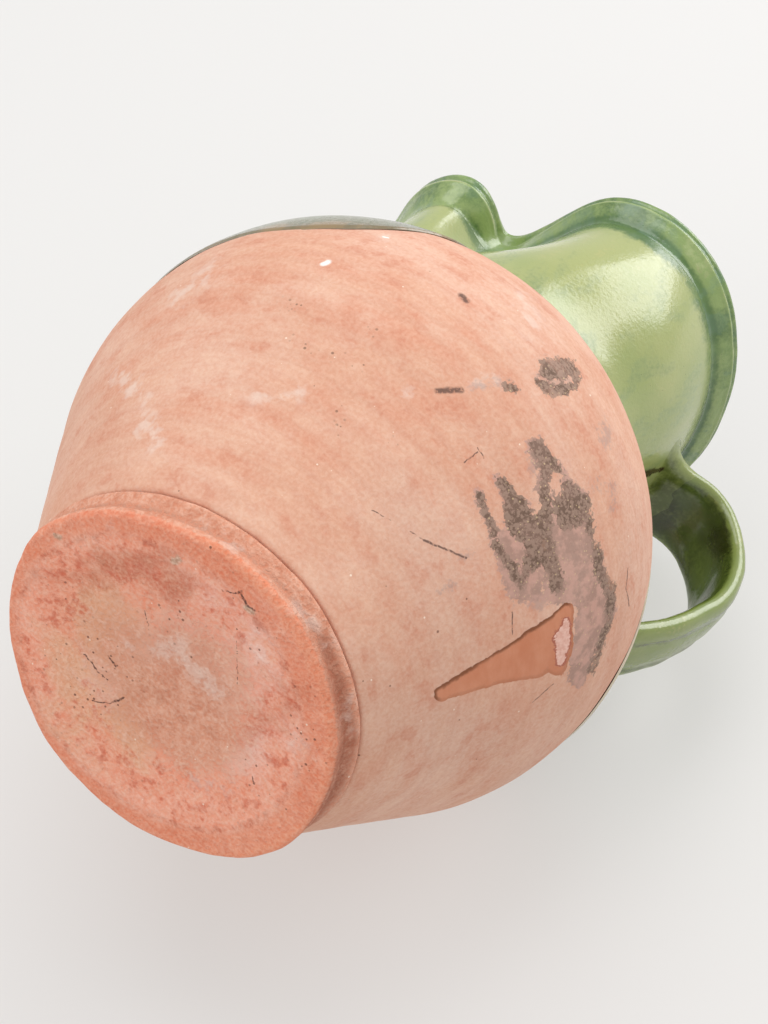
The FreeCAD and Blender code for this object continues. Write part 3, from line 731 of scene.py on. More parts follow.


# Stains, worn places and painted shade: the name of the field, how soft its edge is in pixels, its strokes,
# and strokes that are left out of it. A stroke gives x, y and its half width at two or more pixels of the
# picture
SCORCH_BARE = (
    (557, 475, 3.5, 556, 488, 6.5), (535, 496, 3.5, 535, 511, 4.5),
)
BELLY_STAINS = (
    ("scorch_film", 6, (
        (535, 445, 9, 550, 472, 12, 540, 500, 9), (552, 472, 10, 574, 500, 14),
        (478, 493, 4.5, 493, 530, 6, 502, 548, 10), (498, 477, 4, 515, 510, 12, 520, 530, 12),
        (508, 546, 16, 522, 586, 17), (533, 520, 10, 532, 590, 12), (560, 515, 15, 560, 588, 17),
        (575, 500, 13, 582, 560, 17), (585, 568, 20, 596, 608, 20), (596, 608, 19, 577, 678, 10),
    ), SCORCH_BARE),
    ("scorch_dark", 5, (
        (537, 446, 8, 551, 474, 11), (546, 480, 6, 543, 505, 7, 546, 545, 10, 558, 588, 6),
        (569, 489, 9, 575, 513, 14), (566, 500, 11, 566, 524, 8), (584, 500, 6, 591, 535, 4, 600, 570, 5),
        (600, 572, 6, 611, 586, 7), (611, 586, 5, 608, 625, 4, 590, 672, 4), (480, 496, 4, 494, 532, 5),
        (500, 478, 3.5, 514, 505, 11), (513, 508, 12, 520, 530, 9), (533, 515, 8, 532, 562, 8),
        (497, 546, 5, 512, 568, 5, 522, 590, 3), (530, 560, 6, 522, 584, 4), (548, 368, 10, 562, 368, 12),
        (538, 382, 4, 552, 393, 6, 572, 387, 5), (571, 364, 5, 577, 382, 4), (506, 386, 4, 518, 388, 4),
    ), SCORCH_BARE),
    ("scorch_thin", 8, (
        (555, 376, 22, 556, 377, 22), (500, 384, 6, 520, 387, 6), (605, 428, 9, 607, 440, 8),
        (611, 484, 5, 613, 504, 6), (570, 612, 5, 566, 640, 4), (475, 388, 6, 492, 384, 6),
        (440, 590, 5, 452, 584, 6), (462, 556, 5, 468, 553, 4), (545, 585, 6, 538, 602, 9),
        (515, 590, 5, 512, 612, 3), (535, 445, 10, 536, 470, 8), (597, 480, 5, 600, 500, 4),
    )),
    ("amber_run", 6, (
        (441, 694, 7, 500, 668, 16, 532, 655, 23, 556, 632, 17, 567, 611, 8), (558, 640, 16, 556, 664, 12),
    )),
    ("amber_rim", 6, (
        (434, 694, 7, 476, 655, 9, 513, 636, 9, 562, 602, 8),
    )),
    ("amber_bare", 5, (
        (567, 621, 3.5, 562, 640, 9, 560, 661, 5),
    )),
    ("chalk", 10, (
        (133, 503, 5, 145, 494, 5), (404, 392, 5, 410, 400, 5), (520, 302, 8, 534, 326, 9),
        (258, 397, 5, 300, 393, 5), (196, 538, 7, 156, 516, 6), (176, 300, 6, 215, 266, 5),
        (383, 236, 4, 392, 239, 4), (126, 378, 12, 138, 396, 10), (145, 425, 12, 156, 440, 11),
        (496, 384, 7, 476, 384, 5),
    )),
    ("blush", 40, (
        (150, 350, 55, 240, 290, 45), (210, 420, 40, 300, 420, 30), (420, 440, 45, 450, 420, 40),
        (330, 300, 40, 450, 320, 40),
    )),
    ("ash", 30, (
        (400, 500, 30, 450, 640, 45), (380, 700, 45, 500, 740, 35), (640, 520, 16, 615, 660, 22),
        (100, 420, 30, 90, 480, 24), (560, 715, 20, 600, 680, 14),
    )),
    ("pitted", 8, (
        (326, 352, 6, 364, 366, 5), (296, 340, 6, 308, 350, 5), (284, 304, 6, 304, 306, 4),
        (372, 330, 5, 378, 334, 5), (338, 408, 5, 342, 432, 5), (392, 440, 4, 394, 446, 4),
    )),
)
FOOT_STAINS_AND_SHADE = (
    ("peach", 34, (
        (95, 610, 36, 110, 690, 46), (110, 700, 34, 130, 740, 26), (70, 640, 20, 80, 720, 18),
    )),
    ("rose", 28, (
        (190, 640, 36, 250, 690, 40), (200, 600, 20, 260, 620, 26), (270, 720, 26, 240, 760, 22),
    )),
    ("chalk", 10, (
        (132, 646, 8, 176, 650, 13), (185, 660, 10, 215, 690, 12), (205, 520, 5, 240, 548, 7),
        (200, 780, 9, 228, 788, 7), (113, 529, 4, 113, 533, 3), (52, 536, 2, 58, 537, 2),
        (352, 700, 5, 350, 725, 5), (300, 742, 8, 308, 752, 8), (300, 610, 8, 330, 640, 7),
    )),
    ("rust", 18, (
        (60, 580, 16, 150, 560, 16), (110, 565, 14, 180, 590, 16), (250, 735, 14, 300, 690, 12),
        (172, 634, 5, 175, 644, 5), (150, 690, 8, 165, 680, 7), (318, 640, 8, 330, 700, 8),
    )),
    ("flame", 24, (
        (120, 780, 26, 260, 820, 30), (255, 555, 20, 322, 680, 22), (30, 600, 10, 60, 700, 10),
    )),
    ("pitted", 12, (
        (86, 640, 16, 118, 668, 18), (76, 694, 12, 122, 706, 14), (236, 588, 10, 254, 608, 9),
        (200, 600, 14, 262, 640, 14), (60, 590, 10, 56, 660, 10), (300, 700, 12, 310, 760, 12),
        (250, 770, 12, 290, 800, 12), (170, 600, 12, 180, 630, 10),
    )),
    # painted shade on the right and lower side of the foot's band, where less light falls
    ("shade", 6, (
        (324, 640, 7, 340, 690, 10, 349, 740, 10, 336, 785, 9, 308, 822, 8), (308, 824, 7, 262, 852, 5),
    )),
    ("haze", 22, (
        (135, 650, 14, 175, 655, 18), (190, 655, 16, 222, 700, 18), (255, 640, 8, 262, 655, 9),
        (100, 670, 12, 112, 690, 14), (255, 745, 9, 240, 760, 10),
    )),
)
COAT_STAINS = (
    ("pale", 8, (
        (664, 500, 14, 655, 620, 16, 600, 720, 16, 560, 745, 14),
    )),
)

# Thin marks: x and y of two pixels of the picture, and the half width in millimetres
BELLY_LINES = (
    (372, 510, 424, 540, 0.16), (424, 540, 466, 558, 0.28), (464, 462, 478, 452, 0.16),
    (478, 448, 484, 458, 0.14), (533, 702, 553, 684, 0.2), (628, 568, 626, 588, 0.22),
    (626, 588, 629, 606, 0.22), (437, 391, 461, 390, 0.75), (462, 296, 466, 300, 1.0),
    (512, 612, 512, 634, 0.2),
)
WHITE_CHIPS = (
    (324, 264, 328, 262, 0.9), (384, 237, 388, 238, 0.4),
)
FOOT_LINES = (
    (84, 655, 92, 662, 0.22), (92, 662, 98, 672, 0.26), (98, 672, 108, 680, 0.18),
    (108, 656, 116, 666, 0.24), (92, 700, 110, 704, 0.22), (110, 704, 124, 697, 0.26),
    (236, 641, 238, 687, 0.1), (145, 611, 149, 630, 0.1), (222, 590, 238, 594, 0.2),
    (240, 592, 247, 606, 0.42), (248, 606, 258, 612, 0.3), (252, 776, 254, 784, 0.25),
)
CRUST = (
    (174, 562, 178, 559, 1.0), (246, 608, 252, 612, 0.8), (56, 536, 60, 538, 0.7),
)
CREVICE_LINES = (
    (642, 475, 652, 472, 1.5), (652, 472, 662, 469, 0.9),
)


def stroke_field(pixels, strokes):
    """How deep each place of the picture lies inside the nearest of some tapered strokes, in pixels."""
    best = np.full(len(pixels), -99.0)
    for stroke in strokes:
        stops = np.reshape(stroke, (-1, 3)).astype(float)
        for start, end in zip(stops, stops[1:]):
            away = pixels - start[:2]
            along = end[:2] - start[:2]
            share = np.clip(away @ along / max(along @ along, 1), 0, 1)
            width = mix(start[2], end[2], share)
            best = np.maximum(best, width - np.linalg.norm(away - share[:, None] * along, axis=1))
    return best


def write_stroke_mask(piece, name, edge, strokes, hole=()):
    """A field from 0 outside to 1 inside the strokes, on the side of the piece that the picture shows."""
    points = np.array([vertex.co[:] for vertex in piece.data.vertices])
    normals = np.array([vertex.normal[:] for vertex in piece.data.vertices])
    seen = ((np.array(CAMERA_PLACE) - points) * normals).sum(1) > 0
    pixels = photo_pixels(points)
    depth = stroke_field(pixels, strokes)
    if hole:
        depth = np.minimum(depth, -stroke_field(pixels, hole))
    write_field(piece, name, np.where(seen, np.clip(0.5 + depth / (2 * edge), 0, 1), 0))


def spot_on(piece, pixel):
    """The place on a piece that a pixel of the picture shows."""
    right = PICTURE_RIGHT * (pixel[0] - PICTURE_WIDTH / 2)
    down = PICTURE_DOWN * (pixel[1] - PICTURE_HEIGHT / 2)
    ray = (right + down + PICTURE_RIGHT.cross(PICTURE_DOWN) * FOCAL_PIXELS).normalized()
    hit, place, _, _ = piece.ray_cast(CAMERA_PLACE, ray)
    return place if hit else None


def paint(red, green, blue):
    """Colour as a screen shows it, from 0 to 255, in the values that a shader takes."""
    return tuple(((share / 255 + 0.055) / 1.055) ** 2.4 for share in (red, green, blue)) + (1,)


def join(value, socket):
    """Lead a wire to an input, or fill the input with a plain value."""
    if isinstance(value, Wire):
        socket.id_data.links.new(value.socket, socket)
    else:
        socket.default_value = value


def put(tree, kind, inputs=None, **settings):
    """Add a shader node, set it up, and join or fill its inputs."""
    made = tree.nodes.new("ShaderNode" + kind)
    for key, value in settings.items():
        setattr(made, key, value)
    for key, value in (inputs or {}).items():
        join(value, made.inputs[key])
    return made


class Wire:
    """An output of a shader node. Sums, differences and products of wires are nodes of their own."""

    def __init__(self, node, output=0):
        self.tree = node.id_data
        self.socket = node.outputs[output]

    def to(self, kind, inputs, output=0, **settings):
        return Wire(put(self.tree, kind, inputs, **settings), output)

    def work(self, operation, other=0.0, clamp=False):
        return self.to("Math", {0: self, 1: other}, operation=operation, use_clamp=clamp)

    def __add__(self, other):
        return self.work("ADD", other)

    def __sub__(self, other):
        return self.work("SUBTRACT", other)

    def __mul__(self, other):
        return self.work("MULTIPLY", other)

    def under(self, number):
        """A number divided by the wire."""
        return self.to("Math", {0: number, 1: self}, operation="DIVIDE")

    def vector(self, operation, other=(0, 0, 0), output="Vector"):
        return self.to("VectorMath", {0: self, 1: other}, output, operation=operation)

    def scaled(self, scale):
        return self.to("VectorMath", {0: self, "Scale": scale}, operation="SCALE")

    def step(self, low, high, out_low=0.0, out_high=1.0):
        """Smooth step from low to high."""
        limits = {"Value": self, "From Min": low, "From Max": high, "To Min": out_low, "To Max": out_high}
        return self.to("MapRange", limits, interpolation_type="SMOOTHSTEP")

    def between(self, first, second):
        """From one colour, where the wire is 0, to another, where it is 1."""
        return mixed(self, paint(*first), paint(*second))


def mixed(share, first, second, kind="MIX"):
    """Two colours mixed. At least one of the three is a wire."""
    wire = next(value for value in (share, first, second) if isinstance(value, Wire))
    return wire.to("Mix", {0: share, 6: first, 7: second}, 2, data_type="RGBA", blend_type=kind)


# Millimetres in a metre, how far one step of a seed moves a pattern, and how the wheel draws it out
PER_METRE = 1 / MM
SEED_STEP = 0.1
WHEEL_STRETCH = (0.035, 0.035, 1)


def place_in(tree):
    """The place on the piece, in metres."""
    return Wire(put(tree, "TexCoord"), "Object")


def new_group(name, **inputs):
    """An empty node group, its inputs by name, and the socket that its one result goes to."""
    group = bpy.data.node_groups.new(name, "ShaderNodeTree")
    for label, value in inputs.items():
        kind = "Vector" if isinstance(value, tuple) else "Float"
        socket = group.interface.new_socket(label, in_out="INPUT", socket_type="NodeSocket" + kind)
        socket.default_value = value
    group.interface.new_socket("Mask", in_out="OUTPUT", socket_type="NodeSocketFloat")
    given = group.nodes.new("NodeGroupInput")
    result = group.nodes.new("NodeGroupOutput").inputs[0]
    return group, {label: Wire(given, label) for label in inputs}, result


def clouds_group():
    """Soft patches of a given size in millimetres."""
    inputs = {"Size": 20.0, "Seed": 0.0, "Low": 0.35, "High": 0.65, "Detail": 3.0, "Stretch": (1, 1, 1)}
    tree, given, result = new_group("clouds", **inputs)
    seed = given["Seed"] * SEED_STEP
    drawn_out = place_in(tree).vector("MULTIPLY", given["Stretch"])
    place = drawn_out.vector("ADD", seed.to("CombineXYZ", {0: seed}))
    settings = {"Scale": given["Size"].under(PER_METRE), "Detail": given["Detail"], "Roughness": 0.62}
    join(place.to("TexNoise", {"Vector": place, **settings}).step(given["Low"], given["High"]), result)
    return tree


def specks_group():
    """Scattered specks: Size is the cell in millimetres, Share how many cells hold one."""
    tree, given, result = new_group("specks", Size=3.0, Seed=0.0, Share=0.3, Radius=0.2)
    seed = given["Seed"] * SEED_STEP
    place = place_in(tree).vector("ADD", seed.to("CombineXYZ", {2: seed}))
    cells = put(tree, "TexVoronoi", {"Vector": place, "Scale": given["Size"].under(PER_METRE)})
    chance = put(tree, "SeparateColor", {0: Wire(cells, "Color")})
    held = Wire(chance, 0).work("LESS_THAN", given["Share"])
    size = given["Radius"] * (Wire(chance, 1) + 0.35)
    join(held * Wire(cells, "Distance").step(size, size * 0.55), result)
    return tree


def wheel_group():
    """Marks that the wheel leaves round the pot: fine bands that come and go."""
    tree, given, result = new_group("wheel_marks", Size=1.2, Seed=0.0)
    seed = given["Seed"]
    place = place_in(tree).vector("MULTIPLY", WHEEL_STRETCH).vector("ADD", seed.to("CombineXYZ", {2: seed}))
    settings = {"Scale": given["Size"].under(PER_METRE), "Detail": 2.0, "Roughness": 0.6}
    join(place.to("TexNoise", {"Vector": place, **settings}), result)
    return tree


def mark_group():
    """A thin mark from one point to another: Width is half its width in millimetres."""
    tree, given, result = new_group("thin_mark", Place=(0, 0, 0), Start=(0, 0, 0), End=(0, 0, 0), Width=0.3)
    away = given["Place"].vector("SUBTRACT", given["Start"])
    along = given["End"].vector("SUBTRACT", given["Start"])
    length = along.vector("DOT_PRODUCT", along, "Value")
    share = away.vector("DOT_PRODUCT", along, "Value").work("DIVIDE", length, clamp=True)
    gap = away.vector("SUBTRACT", along.scaled(share))
    distance = gap.vector("LENGTH", output="Value") * PER_METRE
    join(distance.step(given["Width"] * 1.6, given["Width"] * 0.5), result)
    return tree


GROUPS = {"clouds": clouds_group(), "specks": specks_group(), "wheel_marks": wheel_group(),
          "thin_mark": mark_group()}


class Finish:
    """The material of a piece as it is built up, with the colour so far under the layers that follow."""

    def __init__(self, piece, name, slot, field_rows=()):
        for row in field_rows:
            write_stroke_mask(piece, *row)
        material = bpy.data.materials.new(name)
        material.use_nodes = True
        piece.data.materials.clear()
        piece.data.materials.append(material)
        self.piece = piece
        self.tree = material.node_tree
        self.shader = self.tree.nodes["Principled BSDF"]
        self.place = place_in(self.tree)

    def use(self, kind, **values):
        """Place one of the shared groups with its own values."""
        node = put(self.tree, "Group", node_tree=GROUPS[kind])
        for label, value in values.items():
            join(value, node.inputs[label.capitalize()])
        return Wire(node)

    def clouds(self, size, seed, low, high, detail, stretch=(1, 1, 1)):
        """Soft patches that begin where the noise is low and are full where it is high."""
        return self.use("clouds", size=size, seed=seed, low=low, high=high, detail=detail, stretch=stretch)

    def specks(self, size, seed, share, radius):
        """Specks in a share of cells of a size, whose radius is a share of the cell."""
        return self.use("specks", size=size, seed=seed, share=share, radius=radius)

    def field(self, name):
        return Wire(put(self.tree, "Attribute", attribute_name=name), "Fac")

    def ragged(self, name, noise_in, amount, low, high):
        """Mask of a stain whose edge is broken up by a noise."""
        return (self.field(name) + (noise_in - 0.5) * amount).step(low, high)

    def shaken(self, size, amount):
        """Place on the piece with a small random shift, so that drawn lines come out ragged."""
        wave = self.place.to("TexNoise", {"Vector": self.place, "Scale": PER_METRE / size, "Detail": 2.0}, 1)
        return self.place.vector("ADD", wave.vector("SUBTRACT", (0.5, 0.5, 0.5)).scaled(amount * MM))

    def marks(self, lines, place):
        """Mask of all thin marks of a table that lie on the piece."""
        mask = None
        for *ends, width in lines:
            first, second = spot_on(self.piece, ends[:2]), spot_on(self.piece, ends[2:])
            if first is not None and second is not None:
                mark = self.use("thin_mark", place=place, start=first, end=second, width=width)
                mask = mask.work("MAXIMUM", mark) if mask else mark
        return mask

    def lay(self, share, colour, kind="MIX"):
        """Lay a colour, or a wire that carries one, over the colour so far."""
        over = colour if isinstance(colour, Wire) else paint(*colour)
        self.colour = mixed(share, self.colour, over, kind)

    def grain(self, tiny, seed, contrast):
        """Sand, pale grains and dark pits that all bare clay of the jug shows."""
        self.lay(contrast, tiny.between((96, 80, 70), (168, 166, 162)), "SOFT_LIGHT")
        self.lay(self.specks(4.2, seed, 0.30, 0.07) * 0.7, (252, 234, 214))
        self.lay(self.specks(6.0, seed + 7, 0.34, 0.06) * 0.75, (108, 72, 56))

    def done(self, rough, height, relief, **settings):
        """Join colour, roughness and relief, whose full height is given in millimetres."""
        bump = put(self.tree, "Bump", {"Height": height, "Strength": 1.0, "Distance": relief * MM})
        join(self.colour, self.shader.inputs["Base Color"])
        join(rough, self.shader.inputs["Roughness"])
        join(Wire(bump), self.shader.inputs["Normal"])
        for label, value in settings.items():
            self.shader.inputs[label.replace("_", " ")].default_value = value
        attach(self.piece, "root")


def dress_belly(piece):
    look = Finish(piece, "bare_clay_finish", "bare_clay", BELLY_STAINS)
    wide = look.clouds(56, 3.1, 0.36, 0.64, 3, (1, 1, 1.8))
    middle = look.clouds(17, 8.4, 0.30, 0.70, 4, (1, 1, 2.2))
    small = look.clouds(5, 1.7, 0.32, 0.68, 3)
    tiny = look.clouds(1.1, 4.6, 0.26, 0.74, 2)
    wheel = look.use("wheel_marks", size=1.8, seed=2.0)
    fine = mixed(0.5, tiny, small)
    look.colour = wide.between((225, 180, 156), (231, 194, 174))
    look.lay(middle.step(0.35, 1.0) * 0.42, (222, 167, 142))
    look.lay(middle.step(0.45, 0.0) * 0.38, (236, 199, 176))
    look.lay(small.step(0.4, 1.0) * 0.22, (220, 166, 144))
    look.lay(look.field("blush") * middle * 0.32, (226, 162, 134))
    look.lay(look.field("ash") * 0.22, (208, 168, 148))
    look.lay(small.step(0.60, 0.95) * middle.step(0.5, 0.8) * 0.28, (208, 138, 108))
    look.lay(wheel.step(0.35, 0.75) * 0.14, (200, 148, 126))
    look.grain(tiny, 20.0, 0.52)
    # a little glaze ran on where the neck joins
    height = Wire(put(look.tree, "SeparateXYZ", {0: look.place}), 2)
    look.lay(height.step(RING_HEIGHT - 3.6 * MM, RING_HEIGHT - 2.6 * MM), (118, 126, 74))
    look.lay(look.ragged("chalk", small, 1.0, 0.35, 1.25) * 0.55, (234, 214, 200))
    holes = look.specks(1.15, 61.0, 0.6, 0.34) * look.field("pitted").step(0.25, 0.8)
    look.lay(holes * 0.75, (120, 92, 72))
    look.lay(look.ragged("scorch_thin", fine, 1.0, 0.5, 1.0) * 0.50, (168, 140, 132))
    film = look.ragged("scorch_film", fine, 0.7, 0.40, 0.60)
    look.lay(film * 0.84, small.step(0.1, 0.9).between((164, 132, 120), (198, 156, 142)))
    dark = look.ragged("scorch_dark", fine, 0.9, 0.42, 0.60)
    soot = tiny.step(0.25, 0.75).between((108, 86, 72), (152, 126, 110))
    look.lay(dark * small.step(0.0, 0.9, 0.66, 0.94), soot)
    look.lay(look.specks(1.0, 3.0, 0.50, 0.26) * film.work("MAXIMUM", dark) * 0.6, (222, 194, 150))
    shaken = look.shaken(2.2, 0.9)
    look.lay(look.marks(BELLY_LINES, shaken) * tiny.step(0.1, 0.5, 0.35, 0.9), (104, 78, 68))
    run = look.field("amber_run") + small.step(0, 1, -0.07, 0.07)
    amber = run.step(0.47, 0.53)
    rim = run.step(0.88, 0.62) * look.field("amber_rim").step(0.2, 0.7, 0.25, 1.0)
    look.lay(amber, mixed(rim * 0.9, middle.between((200, 124, 88), (212, 142, 108)), paint(122, 66, 32)))
    bare = look.ragged("amber_bare", fine, 0.5, 0.40, 0.50)
    look.lay(bare * amber, (178, 106, 84))
    heart = look.ragged("amber_bare", fine, 0.5, 0.58, 0.70)
    look.lay(heart * amber, tiny.between((222, 168, 150), (240, 196, 180)))
    look.lay(look.marks(WHITE_CHIPS, shaken), (250, 242, 236))
    gloss = amber.work("SUBTRACT", bare, clamp=True)
    relief = (wheel * 0.55 + tiny * 0.36) * gloss.step(0.0, 1.0, 1.0, 0.12)
    look.done(gloss.step(0.0, 1.0, 0.78, 0.18), relief, 0.16, Specular_IOR_Level=0.3)


def dress_foot(piece):
    look = Finish(piece, "foot_clay_finish", "foot_clay", FOOT_STAINS_AND_SHADE)
    place = put(look.tree, "SeparateXYZ", {0: look.place})
    # the worn ring is broader on one side
    shifted = look.place.to("CombineXYZ", {0: Wire(place, 0) + 2.4 * MM, 1: Wire(place, 1) + -1.8 * MM})
    radius = shifted.vector("LENGTH", output="Value") * PER_METRE
    level = Wire(place, 2) * PER_METRE
    middle = look.clouds(13, 4.2, 0.32, 0.68, 3)
    small = look.clouds(4.2, 6.9, 0.30, 0.70, 3)
    tiny = look.clouds(1.1, 9.4, 0.26, 0.74, 2)
    fine = mixed(0.5, tiny, small)
    look.colour = middle.between((238, 176, 152), (244, 194, 174))
    look.lay(look.ragged("flame", middle, 0.6, 0.1, 1.1) * 0.72, (230, 148, 116))
    look.lay(look.ragged("peach", middle, 0.6, 0.1, 1.0) * 0.85, (230, 188, 160))
    look.lay(look.ragged("rose", middle, 0.6, 0.1, 1.1) * 0.55, (238, 192, 178))
    look.lay(look.ragged("rust", middle, 0.7, 0.15, 1.1) * 0.75, (208, 140, 114))
    look.lay(look.ragged("haze", small, 0.6, 0.1, 1.0) * 0.80, (243, 214, 203))
    look.lay(small.step(0.55, 1.0) * middle.step(0.9, 0.3) * 0.60, (212, 122, 92))
    look.lay(small.step(0.40, 0.0) * 0.30, (238, 196, 174))
    uneven = radius + fine * 2.4
    flat_side = level.step(2.4, 1.0)
    look.lay(uneven.step(45.4, 47.6) * flat_side * 0.55, small.between((220, 140, 108), (238, 172, 142)))
    look.lay(uneven.step(51.2, 52.8) * flat_side * 0.5, (240, 176, 146))
    # painted shade: a dark line at the inner edge of the worn ring, where the dish steps down
    look.lay(uneven.step(43.6, 45.2) * uneven.step(47.2, 45.6) * small * 0.35, (196, 134, 110))
    look.lay((level + fine).step(1.7, 2.7) * 0.85, small.between((214, 160, 136), (232, 188, 166)))
    # painted shade: the foot's band darker in its shallow groove
    groove = level.step(2.6, 3.8) * level.step(6.0, 4.8) * fine.step(0.25, 0.6)
    look.lay(groove * 0.40, (172, 118, 96))
    # painted shade: the right and lower side of the foot's band darkened
    shade = look.ragged("shade", fine, 0.5, 0.2, 1.0) * level.step(0.7, 1.8)
    look.lay(shade * 0.75, small.between((176, 116, 92), (196, 138, 114)))
    look.grain(tiny, 50.0, 0.85)
    look.lay(look.ragged("chalk", small, 1.0, 0.35, 1.25) * 0.34, (220, 202, 192))
    holes = look.specks(1.8, 70.0, 0.50, 0.22) * look.field("pitted").step(0.0, 0.8, 0.22, 1.0)
    look.lay(holes * 0.85, (112, 70, 54))
    shaken = look.shaken(1.8, 1.7)
    look.lay(look.marks(FOOT_LINES, shaken) * tiny.step(0.1, 0.5, 0.45, 0.95), (88, 56, 46))
    look.lay(look.marks(CRUST, shaken) * 0.8, tiny.between((160, 126, 104), (218, 190, 166)))
    look.done(tiny.step(0.0, 1.0, 0.9, 0.74), tiny * 0.8 + small * 0.8, 0.24, Specular_IOR_Level=0.3)


# Green lead glaze: thin, middling and deep
THIN_GLAZE, MIDDLE_GLAZE, DEEP_GLAZE = (186, 180, 116), (166, 173, 108), (70, 104, 44)


def dress_glaze(piece, slot, body=MIDDLE_GLAZE, deep=DEEP_GLAZE, thin=THIN_GLAZE, rust=0.0, blue=0.2,
                marks=(), field_rows=()):
    """Glossy green glaze whose colour follows how deep it lies, with streaks, specks and a fine skin."""
    look = Finish(piece, piece.name + "_glaze", slot, field_rows)
    flow = look.clouds(10, 5.2, 0.32, 0.68, 3, (1, 1, 0.45))
    fine = look.clouds(1.4, 3.3, 0.26, 0.74, 2)
    wide = look.clouds(24, 14.0, 0.38, 0.66, 2)
    depth = look.field("glaze_depth") + (flow - 0.5) * 0.24 + (fine - 0.5) * 0.16
    look.colour = depth.step(0.02, 0.34).between(thin, body)
    look.lay(depth.step(0.42, 0.98), deep)
    look.lay(wide * 0.45, (round(0.82 * body[0]), round(0.90 * body[1]), round(0.80 * body[2])))
    if blue:
        look.lay(flow.step(0.60, 0.95) * depth.step(0.2, 0.6) * blue, (112, 144, 130))
    if rust:
        look.lay(flow.step(0.5, 0.1) * depth.step(0.34, 0.05) * rust, (154, 124, 76))
    if field_rows:
        look.lay(look.field("pale") * 0.9, (214, 196, 166))
    look.lay(look.specks(2.0, 33.0, 0.30, 0.10) * 0.5, (84, 84, 48))
    lines = look.marks(marks, look.shaken(3.0, 1.0)) if marks else None
    if lines:
        look.lay(lines * 0.92, (58, 38, 20))
    look.done(fine.step(0.0, 1.0, 0.16, 0.26), fine, 0.04, IOR=1.65, Coat_Weight=0.25, Coat_Roughness=0.08)


SHADOW_SOFTENING = 0.42
FLOOR_COLOUR = (0.715, 0.706, 0.692, 1)
FLOOR_SEEN = (0.88, 0.865, 0.85, 1)
WORLD_STRENGTH = 0.72
WORLD_SEEN = (0.88, 0.87, 0.86, 1)


def make_plane(name, size, place, normal, material):
    deselect()
    turn = Vector(normal).to_track_quat("Z", "Y")
    bpy.ops.mesh.primitive_plane_add(size=size, location=place, rotation=turn.to_euler())
    plane = bpy.context.object
    plane.name = name
    plane.data.materials.append(material)
    return plane


def pale_ground():
    """Pale and matt on its upper face, see-through from behind; the camera sees its shadows softened."""
    material = bpy.data.materials.new("pale_ground")
    material.use_nodes = True
    tree = material.node_tree
    matt = tree.nodes["Principled BSDF"]
    for label, value in (("Base Color", FLOOR_COLOUR), ("Roughness", 0.9), ("Specular IOR Level", 0.1)):
        matt.inputs[label].default_value = value
    glow = put(tree, "Emission", {"Color": FLOOR_SEEN})
    softened = Wire(put(tree, "LightPath"), "Is Camera Ray") * SHADOW_SOFTENING
    lit = put(tree, "MixShader", {0: softened, 1: Wire(matt), 2: Wire(glow)})
    back = Wire(put(tree, "NewGeometry"), "Backfacing")
    chosen = back.to("MixShader", {0: back, 1: Wire(lit), 2: Wire(put(tree, "BsdfTransparent"))})
    join(chosen, tree.nodes["Material Output"].inputs["Surface"])
    return material


def make_stage(pieces):
    """The plane behind the jug in the picture, and a floor under the standing jug for other views."""
    away = [Vector(vertex.co).dot(REST_NORMAL) for piece in pieces for vertex in piece.data.vertices]
    ground = pale_ground()
    behind = make_plane("rest_plane", 3.0, REST_NORMAL * (min(away) - 0.3 * MM), REST_NORMAL, ground)
    floor = make_plane("floor_plane", 6.0, (0, 0, 0), (0, 0, 1), ground)
    unseen_by = {behind: ("diffuse", "shadow"), floor: ("diffuse", "glossy", "transmission", "shadow")}
    for plane, rays in unseen_by.items():
        for kind in rays:
            setattr(plane, "visible_" + kind, False)


def make_world():
    world = bpy.data.worlds.new("pale_room")
    bpy.context.scene.world = world
    world.use_nodes = True
    tree = world.node_tree
    light = tree.nodes["Background"]
    light.inputs["Color"].default_value = (1, 1, 1, 1)
    light.inputs["Strength"].default_value = WORLD_STRENGTH
    seen = put(tree, "Background", {"Color": WORLD_SEEN, "Strength": 1})
    camera_ray = Wire(put(tree, "LightPath"), "Is Camera Ray")
    chosen = camera_ray.to("MixShader", {0: camera_ray, 1: Wire(light), 2: Wire(seen)})
    join(chosen, tree.nodes["World Output"].inputs["Surface"])


def over_rest_plane(turn, rise):
    """Direction over the rest plane: turn in degrees from the picture's right to its top, and rise."""
    right = (PICTURE_RIGHT - REST_NORMAL * PICTURE_RIGHT.dot(REST_NORMAL)).normalized()
    behind = REST_NORMAL.cross(right)
    turn, rise = math.radians(turn), math.radians(rise)
    return (right * math.cos(turn) + behind * math.sin(turn)) * math.cos(rise) + REST_NORMAL * math.sin(rise)


LIT_PLACE = Vector((0, 0, 0.12))


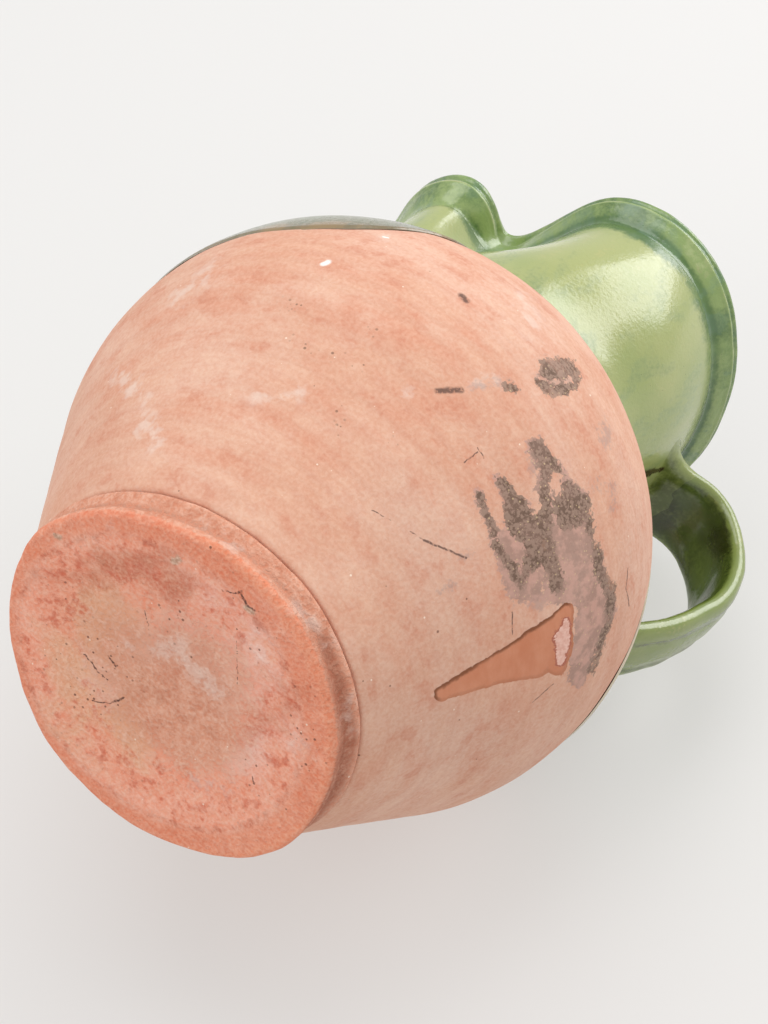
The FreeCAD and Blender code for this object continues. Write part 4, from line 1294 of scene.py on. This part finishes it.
def soft_lamp(name, turn, rise, distance, width, height, radiance):
    """A soft box of a plain brightness, turned to the jug."""
    deselect()
    place = LIT_PLACE + over_rest_plane(turn, rise) * distance
    bpy.ops.object.light_add(type="AREA", location=place)
    lamp = bpy.context.object
    lamp.name = name
    towards = (place - LIT_PLACE).normalized()
    across = REST_NORMAL.cross(towards).normalized()
    facing = Matrix((across, towards.cross(across), towards)).transposed()
    lamp.matrix_world = Matrix.Translation(place) @ facing.to_4x4()
    lamp.data.shape = "RECTANGLE"
    lamp.data.size = width
    lamp.data.size_y = height
    lamp.data.energy = radiance * math.pi * width * height


make_camera()
foot = make_foot()
belly = make_belly()
lining = make_lining()
neck = make_neck()
lip = make_lip()
coat = make_coat()
strap = make_strap()
upper_luting = make_upper_luting()
lower_luting = make_lower_luting()
bpy.context.view_layer.update()
dress_foot(foot)
dress_belly(belly)
dress_glaze(neck, "green_glaze", blue=0.1, marks=CREVICE_LINES)
dress_glaze(lip, "green_glaze", body=(144, 164, 98), deep=(56, 94, 34), thin=(178, 188, 134), rust=0.2)
dress_glaze(strap, "green_glaze", body=(132, 144, 74), deep=(42, 48, 6), rust=0.2, blue=0,
            marks=CREVICE_LINES)
dress_glaze(upper_luting, "green_glaze", body=(148, 156, 88), deep=(78, 88, 30), blue=0,
            marks=CREVICE_LINES)
dress_glaze(lower_luting, "green_glaze", body=(140, 148, 76), deep=(78, 90, 34), blue=0)
dress_glaze(coat, "shoulder_glaze", body=(97, 97, 58), deep=(132, 144, 84), thin=(132, 112, 82), rust=0.5,
            field_rows=COAT_STAINS)
dress_glaze(lining, "inner_glaze", body=(124, 126, 64), deep=(92, 98, 44), blue=0)
make_stage((belly, neck, lip, strap))
make_world()
soft_lamp("window_right", turn=33, rise=25, distance=1.5, width=1.08, height=0.76, radiance=3.8)
soft_lamp("soft_box_above", turn=100, rise=72, distance=1.8, width=1.4, height=1.4, radiance=1.9)
soft_lamp("fill_left", turn=-138, rise=32, distance=1.7, width=1.2, height=1.0, radiance=1.6)

scene = bpy.context.scene
scene.view_settings.view_transform = "Standard"
